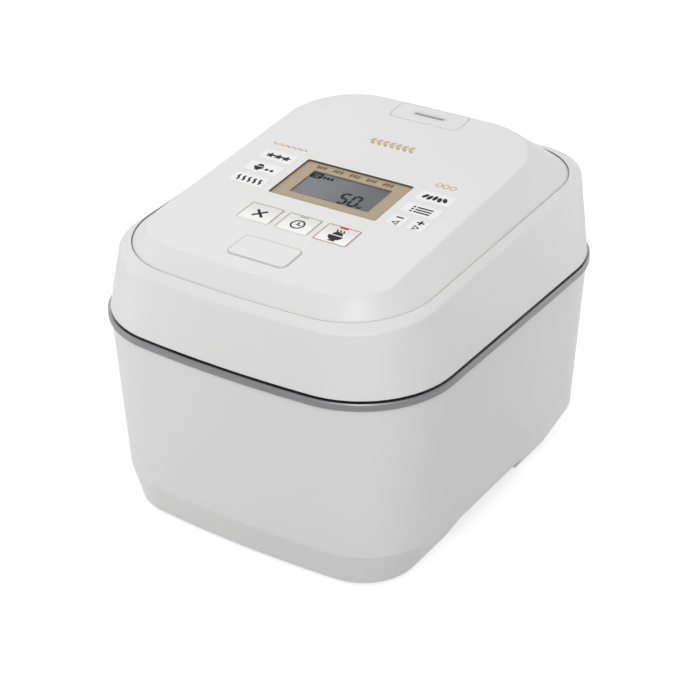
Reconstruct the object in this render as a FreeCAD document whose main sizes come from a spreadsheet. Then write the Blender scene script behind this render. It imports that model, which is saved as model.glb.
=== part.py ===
"""A countertop induction rice cooker with a hinged lid, a removable pot and a sloping key panel.

Millimetres. The origin is on the table under the middle of the cooker, +Z is up and the
front, where the lid is released, faces -Y. The lid is closed.
"""
import FreeCAD, Part
import math
import os
from types import SimpleNamespace

import Sketcher

V = FreeCAD.Vector
DOC = FreeCAD.newDocument("rice_cooker")

# Driving sizes: alias, value, what it measures
SIZES = (
    # The plan of the cooker at the seam between body and lid
    ("overall_width", 266.0, "trim band, side to side"),
    ("overall_depth", 321.4, "trim band, front to rear"),
    ("band_proud", 2.0, "how far the trim band stands out from the walls"),
    ("front_bow", 882.0, "radius of the bowed front"),
    ("rear_bow", 2790.0, "radius of the bowed rear"),
    ("seam_front_corner", 68.7, "plan radius of the front corners at the seam"),
    ("seam_rear_corner", 69.0, "plan radius of the rear corners at the seam"),
    # The underside of the base
    ("foot_height", 2.5, "gap under the base"),
    ("base_side_inset", 19.4, "base inside the seam line, each side"),
    ("base_front_inset", 15.5, "base inside the seam line, front"),
    ("base_rear_inset", 18.2, "base inside the seam line, rear"),
    ("base_front_corner", 40.0, "plan radius of the base's front corners"),
    ("base_rear_corner", 56.8, "plan radius of the base's rear corners"),
    # The crease where the skirt meets the casing
    ("skirt_top", 28.8, "height of the crease"),
    ("skirt_side_inset", 7.0, "crease inside the seam line, each side"),
    ("skirt_front_inset", 8.6, "crease inside the seam line, front"),
    ("skirt_rear_inset", 10.1, "crease inside the seam line, rear"),
    ("skirt_front_corner", 56.3, "plan radius of the crease's front corners"),
    ("skirt_rear_corner", 53.4, "plan radius of the crease's rear corners"),
    # The trim band and the lid's lower edge
    ("band_bottom", 148.4, "top of the casing"),
    ("band_top", 153.9, "top of the trim band"),
    ("lid_gap", 1.4, "dark gap between band and lid"),
    # The lid's shoulder, the seam above it and the flat top
    ("rim_tilt", 2.98, "slope of shoulder and panel seam, degrees"),
    ("shoulder_height", 206.0, "shoulder at the middle of the cooker"),
    ("shoulder_side_inset", 10.9, "shoulder inside the seam line, each side"),
    ("shoulder_front_inset", 6.3, "shoulder inside the seam line, front"),
    ("shoulder_rear_inset", 7.7, "shoulder inside the seam line, rear"),
    ("shoulder_front_corner", 59.1, "plan radius of the shoulder's front corners"),
    ("shoulder_rear_corner", 51.3, "plan radius of the shoulder's rear corners"),
    ("ledge_height", 209.9, "panel seam at the middle of the cooker"),
    ("ledge_side_inset", 16.2, "panel seam inside the seam line, each side"),
    ("ledge_front_inset", 12.8, "panel seam inside the seam line, front"),
    ("ledge_rear_inset", 18.0, "panel seam inside the seam line, rear"),
    ("ledge_front_corner", 59.8, "plan radius of the panel seam's front corners"),
    ("ledge_rear_corner", 49.1, "plan radius of the panel seam's rear corners"),
    ("panel_tilt", 5.88, "slope of the flat top, degrees"),
    ("top_height", 228.4, "flat top at the middle of the cooker"),
    ("top_side_inset", 34.6, "flat top inside the seam line, each side"),
    ("top_front_inset", 25.3, "flat top inside the seam line, front"),
    ("top_rear_inset", 45.5, "flat top inside the seam line, rear"),
    ("top_front_corner", 29.6, "plan radius of the flat top's front corners"),
    ("top_rear_corner", 51.4, "plan radius of the flat top's rear corners"),
    # Walls and fits
    ("casing_wall", 2.6, "wall of the casing"),
    ("tray_wall", 2.4, "wall and floor of the tray"),
    ("lid_wall", 2.4, "wall of the lid shell"),
    ("panel_wall", 2.4, "thickness of the top panel"),
    ("fit", 0.3, "clearance between pieces that move past each other"),
    ("slip", 0.1, "clearance between pieces that are pushed together"),
    ("screw_radius", 1.8, "screw shank"),
    ("screw_head_radius", 3.5, "screw head"),
    ("screw_head_height", 2.2, "screw head"),
    ("boss_radius", 5.0, "columns and bosses that take a screw"),
    # Hand recesses under the two sides
    ("recess_depth", 18.8, "how far a hand recess reaches in from the base's edge"),
    ("recess_height", 13.0, "ceiling of a hand recess above the table"),
    ("recess_front", 45.0, "front end of the ceiling, ahead of the middle"),
    ("recess_rear", 46.0, "rear end of the recess, behind the middle"),
    ("recess_ramp", 16.0, "length of the sloping front end"),
    # Feet and tray columns
    ("foot_radius", 8.0, "rubber foot"),
    ("foot_seat", 1.0, "depth of the foot's pocket"),
    ("foot_x", 72.0, "feet, from the middle"),
    ("foot_front_y", 95.0, "front feet, ahead of the middle"),
    ("foot_rear_y", 90.0, "rear feet, behind the middle"),
    ("column_x", 92.0, "tray columns, from the middle"),
    ("column_front_y", 122.0, "front columns, ahead of the middle"),
    ("column_rear_y", 114.0, "rear columns, behind the middle"),
    ("column_rise", 2.0, "columns above the crease"),
    ("column_head_depth", 5.5, "counterbore for the screw head"),
    ("lug_height", 12.0, "casing lugs above the columns"),
    # Deck round the pot
    ("deck_thickness", 2.4, "deck plate"),
    ("deck_inset", 1.1, "deck inside the seam line"),
    ("deck_rim", 2.5, "width of the rim along the deck's edge"),
    ("deck_rim_height", 4.8, "top of the rim above the casing"),
    ("deck_boss_x", 103.0, "deck screws, from the middle"),
    ("deck_boss_front_y", 124.0, "front deck screws, ahead of the middle"),
    ("deck_boss_rear_y", 124.0, "rear deck screws, behind the middle"),
    ("deck_boss_height", 20.0, "bosses under the deck"),
    # Pot and well
    ("pot_offset", 22.0, "pot axis, ahead of the middle"),
    ("pot_radius", 98.0, "outside of the pot under its rim"),
    ("pot_taper", 2.5, "how much narrower the pot is at its foot"),
    ("pot_wall", 2.2, "wall and floor of the pot"),
    ("pot_depth", 116.0, "underside of the rim to the outside of the floor"),
    ("pot_round", 28.0, "round outer edge of the pot's floor"),
    ("pot_rim_width", 9.0, "rim, beyond the pot's wall"),
    ("pot_rim_thickness", 1.8, "rim"),
    ("pot_seat_height", 4.6, "seat of the pot's rim above the casing"),
    ("pot_seat_width", 9.0, "raised ring round the pot opening"),
    ("well_gap", 3.0, "gap between pot and well"),
    ("well_wall", 1.5, "wall of the well"),
    ("well_flange", 5.0, "flange under the deck"),
    ("well_round", 24.0, "round outer edge of the well's floor"),
    ("well_hole", 17.0, "hole for the sensor, radius"),
    ("heater_height", 30.0, "side heater"),
    ("heater_thickness", 0.8, "side heater"),
    ("heater_above", 60.0, "side heater above the well's floor"),
    # Induction heater
    ("coil_inner", 28.0, "inner radius of the coil"),
    ("coil_outer", 76.0, "outer radius of the coil"),
    ("coil_height", 4.6, "coil"),
    ("carrier_wall", 2.2, "wall and floor of the coil carrier"),
    ("ferrite_width", 10.0, "ferrite bar"),
    ("ferrite_height", 4.6, "ferrite bar"),
    ("ferrite_count", 6, "ferrite bars"),
    ("carrier_post_radius", 4.0, "tray posts under the carrier"),
    ("carrier_post_ring", 66.0, "tray posts, from the pot axis"),
    # Sensor
    ("sensor_radius", 15.0, "head of the sensor"),
    ("sensor_head", 2.0, "thickness of the head"),
    ("sensor_stem", 8.0, "radius of the stem"),
    ("holder_wall", 2.2, "wall and floor of the sensor holder"),
    ("holder_depth", 15.0, "holder below the well"),
    ("sensor_wire", 1.5, "wire of the sensor spring"),
    ("sensor_turns", 5, "turns of the sensor spring"),
    # Electronics at the rear
    ("fan_size", 58.0, "fan frame, side"),
    ("fan_height", 15.0, "fan frame"),
    ("fan_bore", 27.0, "bore of the fan frame, radius"),
    ("fan_y", 105.0, "fan axis, behind the middle"),
    ("fan_hub", 10.0, "radius of the rotor hub"),
    ("fan_pin", 1.5, "radius of the fan's pin"),
    ("blade_count", 7, "fan blades"),
    ("blade_thickness", 1.4, "fan blade"),
    ("blade_pitch", 38.0, "slant of a blade, degrees"),
    ("vent_width", 4.0, "vent slots"),
    ("vent_pitch", 8.5, "vent slots, spacing"),
    ("vent_count", 5, "vent slots in a row"),
    ("vent_length", 42.0, "tray vents"),
    ("rear_vent_height", 24.0, "rear vents"),
    ("rear_vent_low", 90.0, "foot of the rear vents"),
    ("board_width", 116.0, "power board"),
    ("board_depth", 48.0, "power board"),
    ("board_thickness", 1.6, "circuit boards"),
    ("board_height", 54.0, "underside of the power board"),
    ("board_post_radius", 3.2, "tray posts under the power board"),
    ("board_post_inset", 5.0, "tray posts inside the board's edges"),
    ("sink_width", 54.0, "heat sink"),
    ("sink_depth", 34.0, "heat sink"),
    ("sink_base", 4.0, "heat sink's plate"),
    ("sink_fin_height", 24.0, "heat sink's fins"),
    ("sink_fin_count", 7, "heat sink's fins"),
    ("sink_fin", 2.0, "thickness of a fin"),
    ("capacitor_radius", 9.0, "large capacitor"),
    ("capacitor_height", 26.0, "large capacitor"),
    ("choke_size", 22.0, "choke, side"),
    ("relay_size", 14.0, "relay, side"),
    ("outlet_x", 72.0, "cord outlet, from the middle"),
    ("outlet_z", 48.0, "cord outlet, height"),
    ("outlet_radius", 8.0, "cord outlet's sleeve"),
    ("outlet_flange", 11.0, "cord outlet's flange, radius"),
    ("outlet_bore", 4.2, "cord outlet's bore, radius"),
    ("outlet_proud", 2.5, "flange outside the casing"),
    # Lid hinge
    ("hinge_in", 4.0, "hinge axis inside the seam line's rear"),
    ("hinge_rise", 7.0, "hinge axis above the lid's lower edge"),
    ("hinge_shaft_radius", 2.5, "hinge shaft"),
    ("hinge_shaft_half", 60.0, "half the length of the shaft"),
    ("ear_inner", 40.0, "inner face of an ear, from the middle"),
    ("ear_thickness", 6.0, "ear of the hinge bracket"),
    ("ear_radius", 6.0, "round head of an ear"),
    ("barrel_bore", 4.6, "room for the springs in the middle barrel, radius"),
    ("arm_length", 30.0, "hinge arm ahead of the axis"),
    ("arm_thickness", 4.0, "hinge arm"),
    ("bracket_depth", 12.0, "foot of the hinge bracket"),
    ("bracket_thickness", 2.0, "foot of the hinge bracket"),
    ("hinge_wire", 1.4, "wire of the hinge springs"),
    ("hinge_turns", 6, "turns of a hinge spring"),
    # Lid liner and inner lid
    ("liner_rise", 1.9, "liner above the lid's lower edge"),
    ("liner_wall", 2.4, "thickness of the liner"),
    ("liner_inset", 3.4, "liner inside the seam line"),
    ("dome_radius", 106.0, "recess for the inner lid"),
    ("dome_height", 8.8, "recess above the liner's underside"),
    ("lid_boss_x", 117.0, "lid screws, from the middle"),
    ("lid_boss_front_y", 82.0, "front lid screws, ahead of the middle"),
    ("lid_boss_rear_y", 92.0, "rear lid screws, behind the middle"),
    ("lid_boss_height", 16.0, "bosses above the liner"),
    ("inner_lid_radius", 97.0, "inner lid"),
    ("inner_lid_thickness", 1.4, "inner lid"),
    ("inner_lid_rise", 2.8, "inner lid above the pot's rim"),
    ("gasket_height", 5.0, "seal round the inner lid"),
    ("lid_heater_radius", 90.0, "heater plate in the lid"),
    ("lid_heater_thickness", 1.0, "heater plate in the lid"),
    # Lid seam and top panel
    ("rebate_edge", 0.3, "lip left outside the panel's rebate"),
    ("rebate_depth", 1.0, "panel sunk below the ledge"),
    ("panel_seam", 0.45, "gap round the top panel"),
    ("ledge_width", 4.0, "ledge that carries the panel"),
    ("ledge_thickness", 2.4, "ledge that carries the panel"),
    ("bevel_wall", 3.0, "panel wall along the bevel, in plan"),
    # Display
    ("display_width", 87.3, "display opening"),
    ("display_depth", 50.8, "display opening"),
    ("display_corner", 1.6, "display opening's corners"),
    ("display_y", 16.8, "display, ahead of the middle"),
    ("bezel_overlap", 2.5, "bezel under the panel's edge"),
    ("bezel_thickness", 2.0, "bezel plate"),
    ("bezel_sunk", 1.2, "bezel face below the panel"),
    ("window_width", 64.2, "display window"),
    ("window_depth", 31.8, "display window"),
    ("window_shift", 0.4, "window, ahead of the display's middle"),
    ("window_thickness", 0.8, "display window"),
    # Keys
    ("key_width", 26.0, "main key"),
    ("key_depth", 21.1, "main key"),
    ("key_corner", 1.4, "main key's corners"),
    ("key_pitch", 31.0, "main keys, spacing"),
    ("key_y", 68.9, "main keys, ahead of the middle"),
    ("side_key_width", 27.6, "side key"),
    ("side_key_depth", 13.2, "side key"),
    ("side_key_x", 64.5, "side keys, from the middle"),
    ("side_key_pitch", 17.9, "side keys, spacing"),
    ("arrow_key_width", 12.6, "arrow key"),
    ("arrow_key_pitch", 16.0, "arrow keys, spacing"),
    ("key_proud", 0.15, "keys above the panel"),
    ("key_lip", 1.0, "flange that holds a key in"),
    ("key_lip_thickness", 1.2, "flange that holds a key in"),
    ("key_travel", 0.6, "travel of a key"),
    ("key_stem", 2.0, "radius of a key's stem"),
    ("key_stem_length", 3.4, "key's stem"),
    ("switch_size", 6.0, "switch on the control board"),
    ("switch_height", 3.4, "switch on the control board"),
    ("control_width", 164.0, "control board"),
    ("control_front", 88.0, "control board, ahead of the middle"),
    ("control_rear", 18.0, "control board, behind the middle"),
    ("control_post", 3.5, "panel posts over the control board"),
    # Lid release
    ("button_width", 46.4, "release button"),
    ("button_depth", 24.1, "release button"),
    ("button_corner", 4.5, "release button's corners"),
    ("button_y", 108.0, "release button, ahead of the middle"),
    ("button_gap", 0.35, "gap round the release button"),
    ("button_proud", 0.7, "release button above the panel"),
    ("button_stem_y", 115.0, "button's stem, ahead of the middle"),
    ("button_stem_width", 10.0, "button's stem"),
    ("button_stem_depth", 4.0, "button's stem"),
    ("button_stem_length", 24.0, "button's stem"),
    ("latch_y", 141.0, "latch pivot, ahead of the middle"),
    ("latch_z", 185.0, "latch pivot, height"),
    ("latch_pin_radius", 2.0, "latch pin"),
    ("latch_barrel", 4.5, "barrel of the latch lever"),
    ("latch_half_width", 8.0, "half the width of the latch lever"),
    ("latch_plate", 3.2, "thickness of the latch's hook"),
    ("latch_nose", 3.6, "nose of the hook"),
    ("latch_nose_height", 3.0, "nose of the hook"),
    ("latch_clear", 0.4, "nose clear of the catch"),
    ("latch_arm", 3.0, "thickness of the lever's arm"),
    ("latch_ear", 4.0, "liner ears that hold the pin"),
    ("latch_ear_gap", 6.0, "room for the latch spring"),
    ("latch_wire", 1.0, "wire of the latch spring"),
    ("latch_turns", 4, "turns of the latch spring"),
    ("catch_edge", 138.2, "edge of the catch, ahead of the middle"),
    ("catch_depth", 4.6, "catch plate"),
    ("catch_thickness", 1.5, "catch plate"),
    ("catch_slot", 12.4, "slot for the hook, front to rear"),
    # Steam way
    ("cap_width", 58.0, "steam cap"),
    ("cap_front_y", 89.8, "steam cap's front, behind the middle"),
    ("cap_depth", 22.6, "steam cap"),
    ("cap_corner", 5.5, "steam cap's corners"),
    ("cap_thickness", 1.5, "steam cap's plate"),
    ("cap_ledge", 2.6, "ledge that carries the steam cap"),
    ("cap_slot_width", 26.0, "steam slot"),
    ("cap_slot_depth", 3.4, "steam slot"),
    ("cup_wall", 1.4, "wall of the steam cup"),
    ("cup_depth", 20.0, "steam cup below the cap"),
    ("nozzle_radius", 5.0, "outlet of the steam cup"),
    ("nozzle_length", 6.0, "outlet of the steam cup"),
    ("duct_radius", 10.0, "upright part of the steam duct"),
    ("duct_wall", 1.6, "wall of the steam duct"),
    ("duct_width", 26.0, "flat part of the steam duct"),
    ("duct_height", 12.0, "flat part of the steam duct"),
    ("steam_hole_y", 40.0, "steam hole in the dome, behind the middle"),
    ("steam_hole", 8.0, "steam hole, radius"),
    # Soft edges
    ("shoulder_round", 1.6, "rounded shoulder"),
    ("crease_round", 2.5, "rounded edge of the flat top"),
    ("skirt_round", 3.0, "rounded lower edge of the tray"),
    ("band_round", 0.7, "chamfered edges of the trim band"),
)


class Size:
    """A length that knows its value and the spreadsheet formula that gives it."""

    def __init__(self, value, text):
        self.value = value
        self.text = text

    def __add__(self, other):
        other = sized(other)
        return Size(self.value + other.value, f"({self.text} + {other.text})")

    def __sub__(self, other):
        other = sized(other)
        return Size(self.value - other.value, f"({self.text} - {other.text})")

    def __mul__(self, other):
        other = sized(other)
        return Size(self.value * other.value, f"({self.text} * {other.text})")

    def __truediv__(self, other):
        other = sized(other)
        return Size(self.value / other.value, f"({self.text} / {other.text})")

    def __neg__(self):
        return Size(-self.value, f"(0 - {self.text})")

    def __radd__(self, other):
        return sized(other) + self

    def __rsub__(self, other):
        return sized(other) - self

    def __rmul__(self, other):
        return sized(other) * self


def sized(value):
    """A plain number or a Size, as a Size."""
    return value if isinstance(value, Size) else Size(value, f"({value})")


def rise(run, tilt):
    """How much a surface that slopes by tilt climbs over a level run."""
    run = sized(run)
    slope = math.tan(math.radians(tilt.value))
    return Size(run.value * slope, f"({run.text} * tan({tilt.text} * 1 deg))")


def write_sheet():
    """The spreadsheet of driving sizes, and the same sizes by name."""
    sheet = DOC.addObject("Spreadsheet::Sheet", "Sheet")
    for row, (alias, value, meaning) in enumerate(SIZES, 1):
        sheet.set(f"A{row}", meaning)
        sheet.set(f"B{row}", str(value))
        sheet.setAlias(f"B{row}", alias)
    DOC.recompute()
    return SimpleNamespace(**{alias: Size(value, f"Sheet.{alias}") for alias, value, _ in SIZES})


d = write_sheet()
NODES = []


# Binding and placing

def bind(thing, **sizes):
    """Tie properties of a document object to the sheet."""
    for name, value in sizes.items():
        thing.setExpression(name, sized(value).text)


def place(thing, x=0, y=0, z=0):
    """Tie an object's position to the sheet."""
    for axis, where in zip("xyz", (x, y, z)):
        if sized(where).value or isinstance(where, Size):
            thing.setExpression(f"Placement.Base.{axis}", sized(where).text)
    return thing


def on_panel(thing):
    """Set a piece drawn flat onto the sloping top: its XY plane becomes the top's surface."""
    thing.Placement = FreeCAD.Placement(V(), FreeCAD.Rotation(V(1, 0, 0), d.panel_tilt.value))
    thing.setExpression("Placement.Base.z", d.top_height.text)
    thing.setExpression("Placement.Rotation.Angle", d.panel_tilt.text)
    return thing


def node(label, thing):
    """Name a finished piece."""
    thing.Label = label
    NODES.append(thing)
    return thing


# Plain solids and booleans

def block(xs, ys, zs):
    """A block between two planes on each axis."""
    solid = DOC.addObject("Part::Box", "block")
    (x0, x1), (y0, y1), (z0, z1) = xs, ys, zs
    bind(solid, Length=sized(x1) - x0, Width=sized(y1) - y0, Height=sized(z1) - z0)
    return place(solid, x0, y0, z0)


def rod(x, y, zs, radius):
    """An upright cylinder."""
    solid = DOC.addObject("Part::Cylinder", "rod")
    bind(solid, Radius=radius, Height=sized(zs[1]) - zs[0])
    return place(solid, x, y, zs[0])


def cross_rod(xs, y, z, radius):
    """A cylinder that lies along X."""
    solid = DOC.addObject("Part::Cylinder", "cross_rod")
    solid.Placement = FreeCAD.Placement(V(), FreeCAD.Rotation(V(0, 1, 0), 90))
    bind(solid, Radius=radius, Height=sized(xs[1]) - xs[0])
    return place(solid, xs[0], y, z)


def rear_rod(x, ys, z, radius):
    """A cylinder that lies along Y."""
    solid = DOC.addObject("Part::Cylinder", "rear_rod")
    solid.Placement = FreeCAD.Placement(V(), FreeCAD.Rotation(V(1, 0, 0), -90))
    bind(solid, Radius=radius, Height=sized(ys[1]) - ys[0])
    return place(solid, x, ys[0], z)


def cut(base, *tools):
    """A solid with others taken away from it."""
    for tool in tools:
        result = DOC.addObject("Part::Cut", "cut")
        result.Base = base
        result.Tool = tool
        base = result
    return base


def fuse(*solids):
    """Solids joined into one."""
    result = DOC.addObject("Part::MultiFuse", "fuse")
    result.Shapes = list(solids)
    result.Refine = True
    return result


def common(first, second):
    """What two solids share."""
    result = DOC.addObject("Part::Common", "common")
    result.Base = first
    result.Tool = second
    return result


def group(*solids):
    """Separate solids kept as one piece."""
    result = DOC.addObject("Part::Compound", "group")
    result.Links = list(solids)
    return result


# Sketched solids

def origin_plane(body, role):
    return next(plane for plane in body.Origin.OriginFeatures if plane.Role == role)


def new_sketch(body, role, offset=0, tilt=None):
    """A sketch on one of a body's origin planes, lifted along its normal and tilted about X."""
    sketch = body.newObject("Sketcher::SketchObject", "sketch")
    sketch.AttachmentSupport = (origin_plane(body, role), [""])
    sketch.MapMode = "FlatFace"
    lift = V(0, 0, sized(offset).value)
    angle = tilt.value if tilt else 0
    sketch.AttachmentOffset = FreeCAD.Placement(lift, FreeCAD.Rotation(V(1, 0, 0), angle))
    if isinstance(offset, Size):
        sketch.setExpression("AttachmentOffset.Base.z", offset.text)
    if tilt:
        sketch.setExpression("AttachmentOffset.Rotation.Angle", tilt.text)
    return sketch


def dimension(sketch, kind, *reference):
    """A dimension in a sketch, tied to the sheet. Its size comes last."""
    *where, size = reference
    index = sketch.addConstraint(Sketcher.Constraint(kind, *where, sized(size).value))
    sketch.setExpression(f"Constraints[{index}]", sized(size).text)


def chain_tangent(sketch, count):
    """Join the edges of a closed sketch, each tangent to the next."""
    for edge in range(count):
        sketch.addConstraint(Sketcher.Constraint("Tangent", edge, 2, (edge + 1) % count, 1))


def arc(center, radius, start, end):
    return Part.ArcOfCircle(Part.Circle(V(*center, 0), V(0, 0, 1), radius), start, end)


class Outline:
    """A plan of the cooker: straight sides, bowed front and rear, round corners.

    The front and the rear are distances from the middle.
    """

    def __init__(self, half, front, rear, front_corner, rear_corner, front_bow, rear_bow):
        self.half, self.front, self.rear = half, front, rear
        self.front_corner, self.rear_corner = front_corner, rear_corner
        self.front_bow, self.rear_bow = front_bow, rear_bow

    def inset(self, by):
        """The parallel plan that lies further in."""
        return Outline(self.half - by, self.front - by, self.rear - by, self.front_corner - by,
                       self.rear_corner - by, self.front_bow - by, self.rear_bow - by)

    def corner(self, end, corner, bow):
        """A corner's centre ahead of the bow, and the angle where it runs into the bow."""
        half, end, corner, bow = (size.value for size in (self.half, end, corner, bow))
        middle = bow - end
        across = half - corner
        along = math.sqrt((bow - corner) ** 2 - across ** 2)
        return across, along - middle, math.atan2(along, across)

    def sketch(self, body, height, tilt=None):
        """Draw the plan at a height, tilted about X."""
        drawing = new_sketch(body, "XY_Plane", height, tilt)
        half = self.half.value
        rear_x, rear_y, rear_turn = self.corner(self.rear, self.rear_corner, self.rear_bow)
        front_x, front_y, front_turn = self.corner(self.front, self.front_corner, self.front_bow)
        rear_r, front_r = self.rear_corner.value, self.front_corner.value
        rear_middle = self.rear_bow - self.rear
        front_middle = self.front_bow - self.front
        turn = math.pi
        drawing.addGeometry([
            Part.LineSegment(V(half, -front_y, 0), V(half, rear_y, 0)),
            arc((rear_x, rear_y), rear_r, 0, rear_turn),
            arc((0, -rear_middle.value), self.rear_bow.value, rear_turn, turn - rear_turn),
            arc((-rear_x, rear_y), rear_r, turn - rear_turn, turn),
            Part.LineSegment(V(-half, rear_y, 0), V(-half, -front_y, 0)),
            arc((-front_x, -front_y), front_r, turn, turn + front_turn),
            arc((0, front_middle.value), self.front_bow.value, turn + front_turn, 2 * turn - front_turn),
            arc((front_x, -front_y), front_r, 2 * turn - front_turn, 2 * turn),
        ], False)
        right, rear_right, rear_arc, rear_left, left, front_left, front_arc, front_right = range(8)
        chain_tangent(drawing, 8)
        for side in (right, left):
            drawing.addConstraint(Sketcher.Constraint("Vertical", side))
        dimension(drawing, "DistanceX", -1, 1, right, 1, self.half)
        dimension(drawing, "DistanceX", left, 1, -1, 1, self.half)
        for bow in (rear_arc, front_arc):
            drawing.addConstraint(Sketcher.Constraint("PointOnObject", bow, 3, -2))
        dimension(drawing, "DistanceY", rear_arc, 3, -1, 1, rear_middle)
        dimension(drawing, "DistanceY", -1, 1, front_arc, 3, front_middle)
        dimension(drawing, "Radius", rear_arc, self.rear_bow)
        dimension(drawing, "Radius", front_arc, self.front_bow)
        for edge in (rear_right, rear_left):
            dimension(drawing, "Radius", edge, self.rear_corner)
        for edge in (front_left, front_right):
            dimension(drawing, "Radius", edge, self.front_corner)
        return drawing


def level(name):
    """The plan at one of the named levels of the cooker."""
    half = d.overall_width / 2 - d.band_proud
    depth = d.overall_depth / 2 - d.band_proud
    size = vars(d)
    inset = {side: size.get(f"{name}_{side}_inset", sized(0)) for side in ("side", "front", "rear")}
    return Outline(half - inset["side"], depth - inset["front"], depth - inset["rear"],
                   size[f"{name}_front_corner"], size[f"{name}_rear_corner"], d.front_bow, d.rear_bow)


def new_body(name):
    return DOC.addObject("PartDesign::Body", name)


def loft(name, *sections):
    """A solid through plans, each given as (outline, height, tilt) from the lowest to the highest.

    The walls run straight from plan to plan.
    """
    body = new_body(name)
    sketches = [outline.sketch(body, height, tilt) for outline, height, tilt in reversed(sections)]
    feature = body.newObject("PartDesign::AdditiveLoft", "loft")
    feature.Profile = sketches[0]
    feature.Sections = sketches[1:]
    feature.Ruled = True
    return body


def plate(name, outline, zs, tilt=None):
    """A flat solid with the cooker's plan."""
    body = new_body(name)
    pad(body, outline.sketch(body, zs[0], tilt), sized(zs[1]) - zs[0])
    return body


def pad(body, sketch, length):
    feature = body.newObject("PartDesign::Pad", "pad")
    feature.Profile = sketch
    bind(feature, Length=length)
    return feature


def round_edges(body, radius, chosen):
    """Round the edges of a body that a test picks out."""
    DOC.recompute()
    base = body.Tip
    names = [f"Edge{i}" for i, edge in enumerate(base.Shape.Edges, 1) if chosen(edge)]
    feature = body.newObject("PartDesign::Fillet", "round")
    feature.Base = (base, names)
    bind(feature, Radius=radius)
    return body


def rounded(width, depth, corner, zs, x=0, y=0):
    """A flat block with round corners, centred on (x, y)."""
    body = new_body("rounded")
    sketch = new_sketch(body, "XY_Plane")
    half_x, half_y, radius = sized(width) / 2, sized(depth) / 2, sized(corner)
    a, b, r = half_x.value, half_y.value, radius.value
    quarter = math.pi / 2
    sketch.addGeometry([
        Part.LineSegment(V(a, r - b, 0), V(a, b - r, 0)),
        arc((a - r, b - r), r, 0, quarter),
        Part.LineSegment(V(a - r, b, 0), V(r - a, b, 0)),
        arc((r - a, b - r), r, quarter, 2 * quarter),
        Part.LineSegment(V(-a, b - r, 0), V(-a, r - b, 0)),
        arc((r - a, r - b), r, 2 * quarter, 3 * quarter),
        Part.LineSegment(V(r - a, -b, 0), V(a - r, -b, 0)),
        arc((a - r, r - b), r, 3 * quarter, 4 * quarter),
    ], False)
    right, rear, left, front = 0, 2, 4, 6
    chain_tangent(sketch, 8)
    sketch.addConstraint([Sketcher.Constraint("Vertical", side) for side in (right, left)])
    sketch.addConstraint([Sketcher.Constraint("Horizontal", side) for side in (rear, front)])
    dimension(sketch, "DistanceX", -1, 1, right, 1, half_x)
    dimension(sketch, "DistanceX", left, 1, -1, 1, half_x)
    dimension(sketch, "DistanceY", -1, 1, rear, 1, half_y)
    dimension(sketch, "DistanceY", front, 1, -1, 1, half_y)
    for edge in (1, 3, 5, 7):
        dimension(sketch, "Radius", edge, radius)
    pad(body, sketch, sized(zs[1]) - zs[0])
    return place(body, x, y, zs[0])


def polygon_sketch(body, role, points, offset=0):
    """A closed run of straight lines with every corner dimensioned from the origin."""
    sketch = new_sketch(body, role, offset)
    corners = [V(sized(u).value, sized(v).value, 0) for u, v in points]
    count = len(points)
    sketch.addGeometry([Part.LineSegment(corners[i], corners[(i + 1) % count]) for i in range(count)],
                       False)
    for edge in range(count):
        sketch.addConstraint(Sketcher.Constraint("Coincident", edge, 2, (edge + 1) % count, 1))
    for edge, (u, v) in enumerate(points):
        for kind, size in (("DistanceX", u), ("DistanceY", v)):
            if not sized(size).value:
                on_axis = -2 if kind == "DistanceX" else -1
                sketch.addConstraint(Sketcher.Constraint("PointOnObject", edge, 1, on_axis))
            elif sized(size).value > 0:
                dimension(sketch, kind, -1, 1, edge, 1, size)
            else:
                dimension(sketch, kind, edge, 1, -1, 1, -sized(size))
    return sketch


def turned(name, points, x=0, y=0):
    """A solid of revolution about an upright axis, from (radius, height) points."""
    body = new_body(name)
    sketch = polygon_sketch(body, "XZ_Plane", points)
    feature = body.newObject("PartDesign::Revolution", "turn")
    feature.Profile = sketch
    feature.ReferenceAxis = (sketch, ["V_Axis"])
    feature.Angle = 360
    return place(body, x, y)


def prism_x(points, xs):
    """A prism along X from (y, z) points."""
    body = new_body("prism")
    sketch = polygon_sketch(body, "YZ_Plane", points, xs[0])
    pad(body, sketch, sized(xs[1]) - xs[0])
    return body


def spring(radius, wire, turns, length):
    """A coil spring that starts at the origin's height and climbs along Z, from quarter-turn biarcs."""
    pitch = (length - wire) / turns
    steps = int(turns * 4)

    def at(turn):
        angle = 2 * math.pi * turn
        point = V(radius * math.cos(angle), radius * math.sin(angle), wire / 2 + pitch * turn)
        heading = V(-math.sin(angle) * radius, math.cos(angle) * radius, pitch / (2 * math.pi))
        return point, heading.normalize()

    def bend(start, heading, end):
        chord = end - start
        lean = heading.getAngle(chord)
        corner = start + heading * (chord.Length / (2 * math.cos(lean)))
        middle = (start + end) * 0.5
        sag = (corner - middle).normalize() * (chord.Length / 2 * math.tan(lean / 2))
        return Part.Arc(start, middle + sag, end).toShape()

    edges = []
    for step in range(steps):
        (start, leave), (end, arrive) = at(step / 4), at((step + 1) / 4)
        span = end - start
        lead = leave + arrive
        spread = 2 * (1 - leave.dot(arrive))
        reach = (math.sqrt(span.dot(lead) ** 2 + spread * span.dot(span)) - span.dot(lead)) / spread
        joint = (start + end + (leave - arrive) * reach) * 0.5
        edges.append(bend(start, leave, joint))
        edges.append(bend(end, -arrive, joint))
    path = Part.Wire(Part.__sortEdges__(edges))
    start, heading = at(0)
    section = Part.Wire(Part.Circle(start, heading, wire / 2).toShape())
    solid = path.makePipeShell([section], True, False)
    print(f"spring: volume {solid.Volume:.2f}, section by length "
          f"{path.Length * math.pi * wire ** 2 / 4:.2f}, gap between turns {pitch - wire:.2f}")
    feature = DOC.addObject("Part::Feature", "spring")
    feature.Shape = solid
    return feature


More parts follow.
